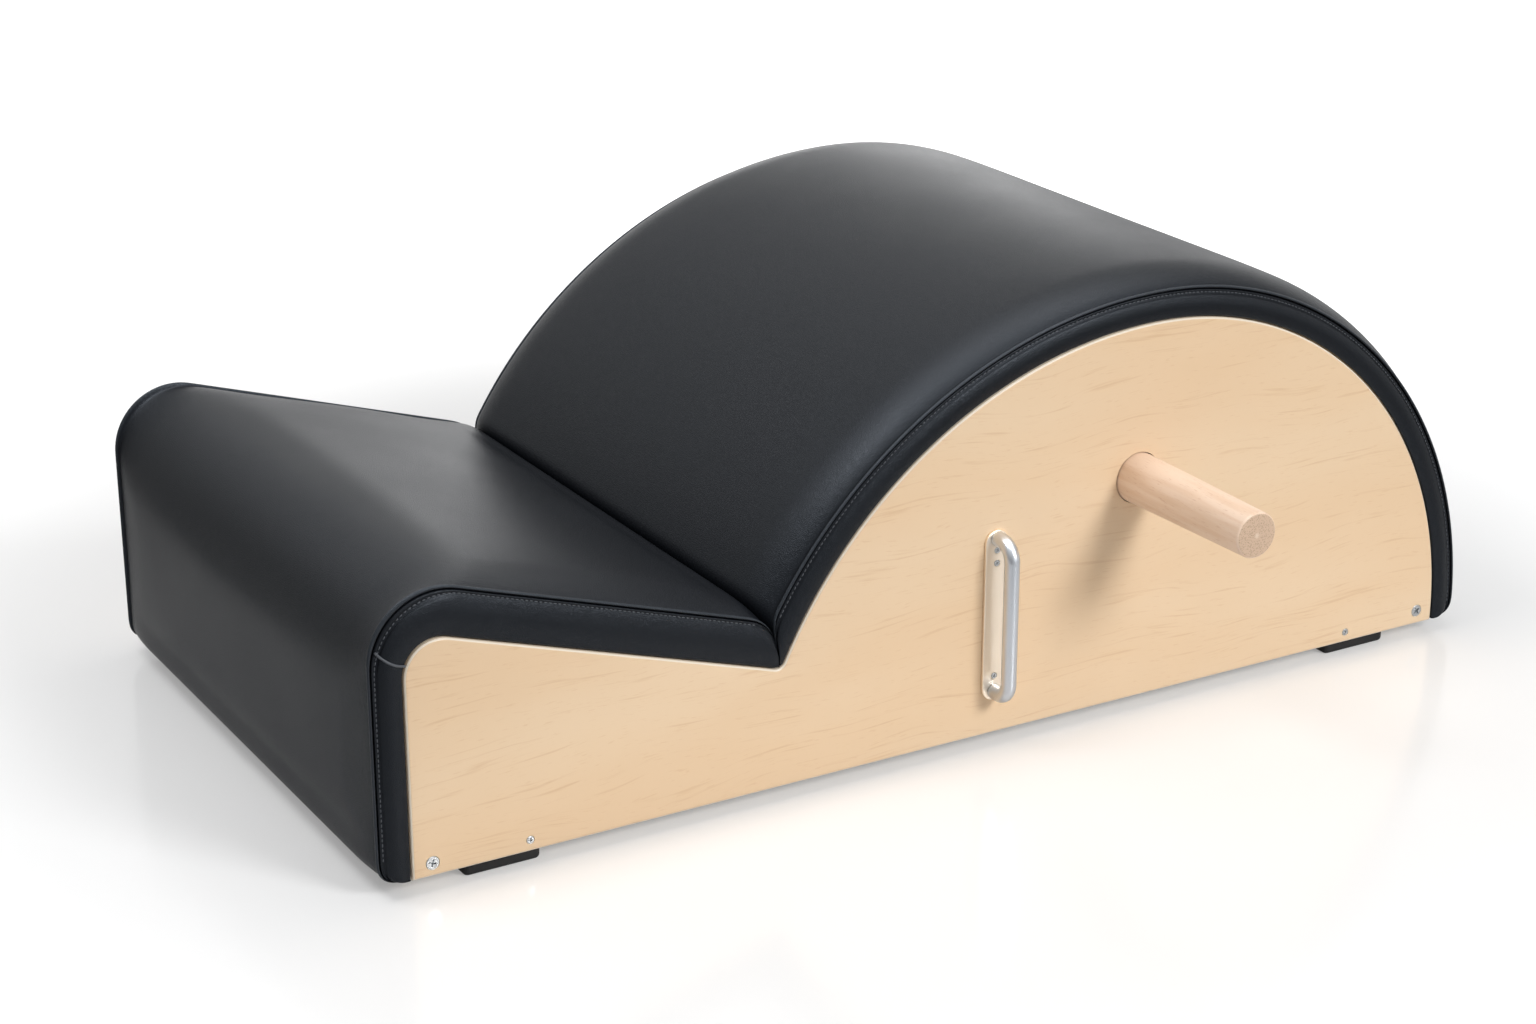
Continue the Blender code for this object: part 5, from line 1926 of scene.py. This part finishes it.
@dataclass(frozen=True)
class RubberFeet:
    """Four rubber feet, each with a pan head screw in a recess of its sole."""

    spans: tuple[tuple[str, float, float], ...] = (("front", 0.038, 0.0925), ("rear", 0.743, 0.799))
    side_inset: float = 0.006
    width: float = 0.040
    corner_radius: float = 0.004
    sole_rounding: float = 0.0030
    recess_radius: float = 0.0068
    recess_depth: float = 0.005
    head_radius: float = 0.0050
    head_height: float = 0.0030
    head_edge_share: float = 0.35
    shank_radius: float = 0.0020
    shank_length: float = 0.018
    clearance: float = 0.0004

    def block(self, low: Vector, high: Vector) -> BMesh:
        """Moulds a foot with rounded upright edges and a rounded sole.

        Args:
            low: Its lowest corner.
            high: Its highest corner.

        Returns:
            The foot.
        """
        builder = bmesh.new()
        size = Matrix.Diagonal((*(high - low), 1.0))
        bmesh.ops.create_cube(builder, size=1.0, matrix=Matrix.Translation((low + high) / 2) @ size)
        upright = [e for e in builder.edges if abs(e.verts[0].co.z - e.verts[1].co.z) > FOOT_HEIGHT / 2]
        rounded = {"offset": self.corner_radius, "segments": 6, "profile": 0.5, "affect": "EDGES"}
        bmesh.ops.bevel(builder, geom=upright, **rounded)
        round_rim(builder, 2, 0.0, self.sole_rounding, 5)
        return builder

    def hole(self) -> Profile:
        """Draws the recess and the screw's hole above it.

        Returns:
            Their half outline.
        """
        deep, below = self.shank_length + TOUCH_GAP, -self.recess_depth - CUT_OVERRUN
        clear, wide = self.shank_radius + self.clearance, self.recess_radius
        return [(0, deep), (clear, deep), (clear, 0), (wide, 0), (wide, below), (0, below)]

    def screw(self) -> Profile:
        """Draws a foot's screw, whose dome faces down.

        Returns:
            Its half outline.
        """
        head, height, edge = self.head_radius, self.head_height, self.head_edge_share
        angles = (0.0, pi / 8, pi / 4, 3 * pi / 8)
        dome = [(head * cos(a), -height * (edge + (1 - edge) * sin(a))) for a in angles]
        shank, length = self.shank_radius, self.shank_length
        return [(0, length), (shank, length), (shank, -TOUCH_GAP), (head, -TOUCH_GAP), *dome, (0, -height)]

    def build(self) -> None:
        """Moulds each foot, and sets its screw."""
        for end, low_s, high_s in self.spans:
            for side in Side:
                y = side.value * (HALF_WIDTH - self.side_inset - self.width / 2)
                low = Vector(world(low_s, y - self.width / 2, -FOOT_HEIGHT))
                high = Vector(world(high_s, y + self.width / 2, -TOUCH_GAP))
                node = f"{end}_{side.word}_foot"
                name = f"{end}_{side.word}_rubber_foot"
                foot = new_object(name, mesh_from(name, self.block(low, high)), [RUBBER])
                place = Matrix.Translation(((low.x + high.x) / 2, y, self.recess_depth))
                cut(foot, [turned(self.hole(), ROUND_FACETS, place)])
                mesh = mesh_from(f"{name}_screw", turned(self.screw(), ROUND_FACETS, place))
                fixing = new_object(f"{name}_screw", mesh, [ZINC])
                made = ((foot, node, "foot_rubber"), (fixing, f"{node}_screw", "nickel_plate"))
                for piece, part, slot in made:
                    shade(piece)
                    settle(piece, slot, part)


# Studio


@dataclass(frozen=True)
class Softbox:
    """An area lamp: where it stands, what it points at, its width and height and its power in watts."""

    name: str
    place: Place
    target: Place
    size: tuple[float, float]
    power: float

    def build(self) -> None:
        """Hangs the lamp, which lights and reflects but isn't itself seen."""
        lamp = bpy.data.lights.new(self.name, "AREA")
        lamp.shape = "RECTANGLE"
        lamp.size, lamp.size_y = self.size
        lamp.energy = self.power
        obj = bpy.data.objects.new(self.name, lamp)
        obj.visible_camera = False
        obj.location = self.place
        obj.rotation_euler = (Vector(self.target) - Vector(self.place)).to_track_quat("-Z", "Y").to_euler()
        bpy.context.scene.collection.objects.link(obj)


@dataclass(frozen=True)
class Studio:
    """A white studio with a slightly glossy floor, soft lamps and the photograph's camera."""

    camera_place: Place = (-1.10156, -1.82618, 0.90824)
    azimuth: float = -30.398
    elevation: float = 20.716
    lens: float = 71.87
    fill_way: Place = (0.6, -0.8, 0.0)
    front_fill: float = 0.35
    back_fill: float = 0.21
    left_reflection: float = 0.35
    right_reflection: float = 1.10
    sky_reflection: float = 0.60
    zenith_reflection: float = 2.8
    floor_side: float = 12.0
    floor_roughness: float = 0.16
    floor_reach: tuple[float, float] = (0.5, 1.2)
    near_floor: str = "D8D8D8"
    far_floor: str = "505050"
    near_glow: float = 0.28
    far_glow: float = 1.3
    lamps: tuple[Softbox, ...] = (
        Softbox("key_softbox", (1.1, -3.2, 2.1), (0.05, 0.0, 0.12), (1.1, 1.1), 84.0),
        Softbox("overhead_softbox", (-0.2, 0.1, 2.1), (-0.2, 0.0, 0.2), (2.6, 0.8), 12.0),
        Softbox("near_left_softbox", (-0.85, -0.1, 1.5), (0.05, -0.15, 0.25), (0.5, 0.5), 6.0),
        Softbox("left_back_softbox", (-1.5, 0.9, 1.7), (0.1, -0.1, 0.3), (0.9, 0.9), 5.0),
        Softbox("low_back_softbox", (1.28, 2.0, 0.45), (-0.25, -0.1, 0.2), (0.9, 0.5), 2.0),
    )

    def build(self) -> None:
        """Sets up the floor, the world, the lamps and the camera."""
        self.lay_floor()
        self.light_world()
        for lamp in self.lamps:
            lamp.build()
        self.set_camera()
        bpy.context.scene.view_settings.view_transform = "Standard"

    def lay_floor(self) -> None:
        """Lays a white floor that keeps the object's shadow and a faint reflection."""
        half = self.floor_side / 2
        corners = [(-half, -half, 0), (half, -half, 0), (half, half, 0), (-half, half, 0)]
        mesh = bpy.data.meshes.new("studio_floor")
        mesh.from_pydata(corners, [], [(0, 1, 2, 3)])
        floor = new_object("studio_floor", mesh)
        material = bpy.data.materials.new("studio_floor")
        material.use_nodes = True
        tree = material.node_tree
        shader = tree.nodes["Principled BSDF"]
        shader.inputs["Roughness"].default_value = self.floor_roughness
        shader.inputs["Emission Color"].default_value = WHITE
        seen = add_node(tree, "ShaderNodeLightPath").outputs["Is Camera Ray"]
        here = add_node(tree, "ShaderNodeTexCoord").outputs["Object"]
        away = add_node(tree, "ShaderNodeVectorMath", {0: here}, {"operation": "LENGTH"}).outputs["Value"]
        distance = eased(tree, away, *self.floor_reach)
        tones = {0: distance, 6: linear(self.near_floor), 7: linear(self.far_floor)}
        tone = add_node(tree, "ShaderNodeMix", tones, COLOURS).outputs[2]
        glows = {0: distance, 2: self.near_glow, 3: self.far_glow}
        spread = add_node(tree, "ShaderNodeMix", glows, FLOATS).outputs[0]
        glow = add_node(tree, "ShaderNodeMath", {0: seen, 1: spread}, MULTIPLY).outputs[0]
        tree.links.new(tone, shader.inputs["Base Color"])
        tree.links.new(glow, shader.inputs["Emission Strength"])
        mesh.materials.append(material)

    def light_world(self) -> None:
        """Makes the world white to the camera and in reflections, and a softer light otherwise."""
        room = bpy.data.worlds.new("studio")
        room.use_nodes = True
        tree = room.node_tree
        background = tree.nodes["Background"]
        background.inputs["Color"].default_value = WHITE
        rays = add_node(tree, "ShaderNodeLightPath").outputs
        way = add_node(tree, "ShaderNodeTexCoord").outputs["Generated"]
        axes = add_node(tree, "ShaderNodeSeparateXYZ", {0: way}).outputs
        ways = {0: way, 1: self.fill_way}
        forward = add_node(tree, "ShaderNodeVectorMath", ways, {"operation": "DOT_PRODUCT"}).outputs["Value"]
        fill = eased(tree, forward, -0.6, 0.6, self.back_fill, self.front_fill)
        reflected = eased(tree, axes["X"], -0.4, 0.3, self.left_reflection, self.right_reflection)
        for low, high, level in ((0.1, 0.4, self.sky_reflection), (0.66, 0.92, self.zenith_reflection)):
            layer = {0: eased(tree, axes["Z"], low, high), 2: reflected, 3: level}
            reflected = add_node(tree, "ShaderNodeMix", layer, FLOATS).outputs[0]
        bounced = {0: rays["Is Glossy Ray"], 1: rays["Is Transmission Ray"]}
        is_reflection = add_node(tree, "ShaderNodeMath", bounced, {"operation": "MAXIMUM"}).outputs[0]
        light = {0: is_reflection, 2: fill, 3: reflected}
        unseen = add_node(tree, "ShaderNodeMix", light, FLOATS).outputs[0]
        levels = {0: rays["Is Camera Ray"], 2: unseen, 3: 1.0}
        strength = add_node(tree, "ShaderNodeMix", levels, FLOATS).outputs[0]
        tree.links.new(strength, background.inputs["Strength"])
        bpy.context.scene.world = room

    def set_camera(self) -> None:
        """Sets the camera where the photograph was taken from."""
        lens = bpy.data.cameras.new("photo_camera")
        lens.lens = self.lens
        camera = bpy.data.objects.new("photo_camera", lens)
        bpy.context.scene.collection.objects.link(camera)
        turn, rise = radians(self.azimuth), radians(self.elevation)
        back = Vector((sin(turn) * cos(rise), -cos(turn) * cos(rise), sin(rise)))
        camera.location = self.camera_place
        camera.rotation_euler = (-back).to_track_quat("-Z", "Y").to_euler()
        bpy.context.scene.camera = camera


def main() -> None:
    logging.basicConfig(level=logging.INFO, format="%(name)s: %(message)s")
    Studio().build()
    InnerFrame().dress()
    PlySkins().build()
    LOG.info("frame and skins dressed")
    for pad in (BARREL_PAD, SEAT_PAD):
        cushion = pad.build()
        LOG.info("%s: %d faces", cushion.name, len(cushion.data.polygons))
    templates = [(kind, kind.template()) for kind in SCREW_KINDS]
    peg = GripPeg()
    for side in Side:
        SidePanel().build(side, peg)
        peg.build(side)
        CarryHandle().build(side)
        for kind, template in templates:
            kind.build(side, template)
        LOG.info("%s panel, peg, handle and screws made", side.word)
    for _, template in templates:
        bpy.data.objects.remove(template)
    RubberFeet().build()
    LOG.info("feet made")


if __name__ == "__main__":
    main()
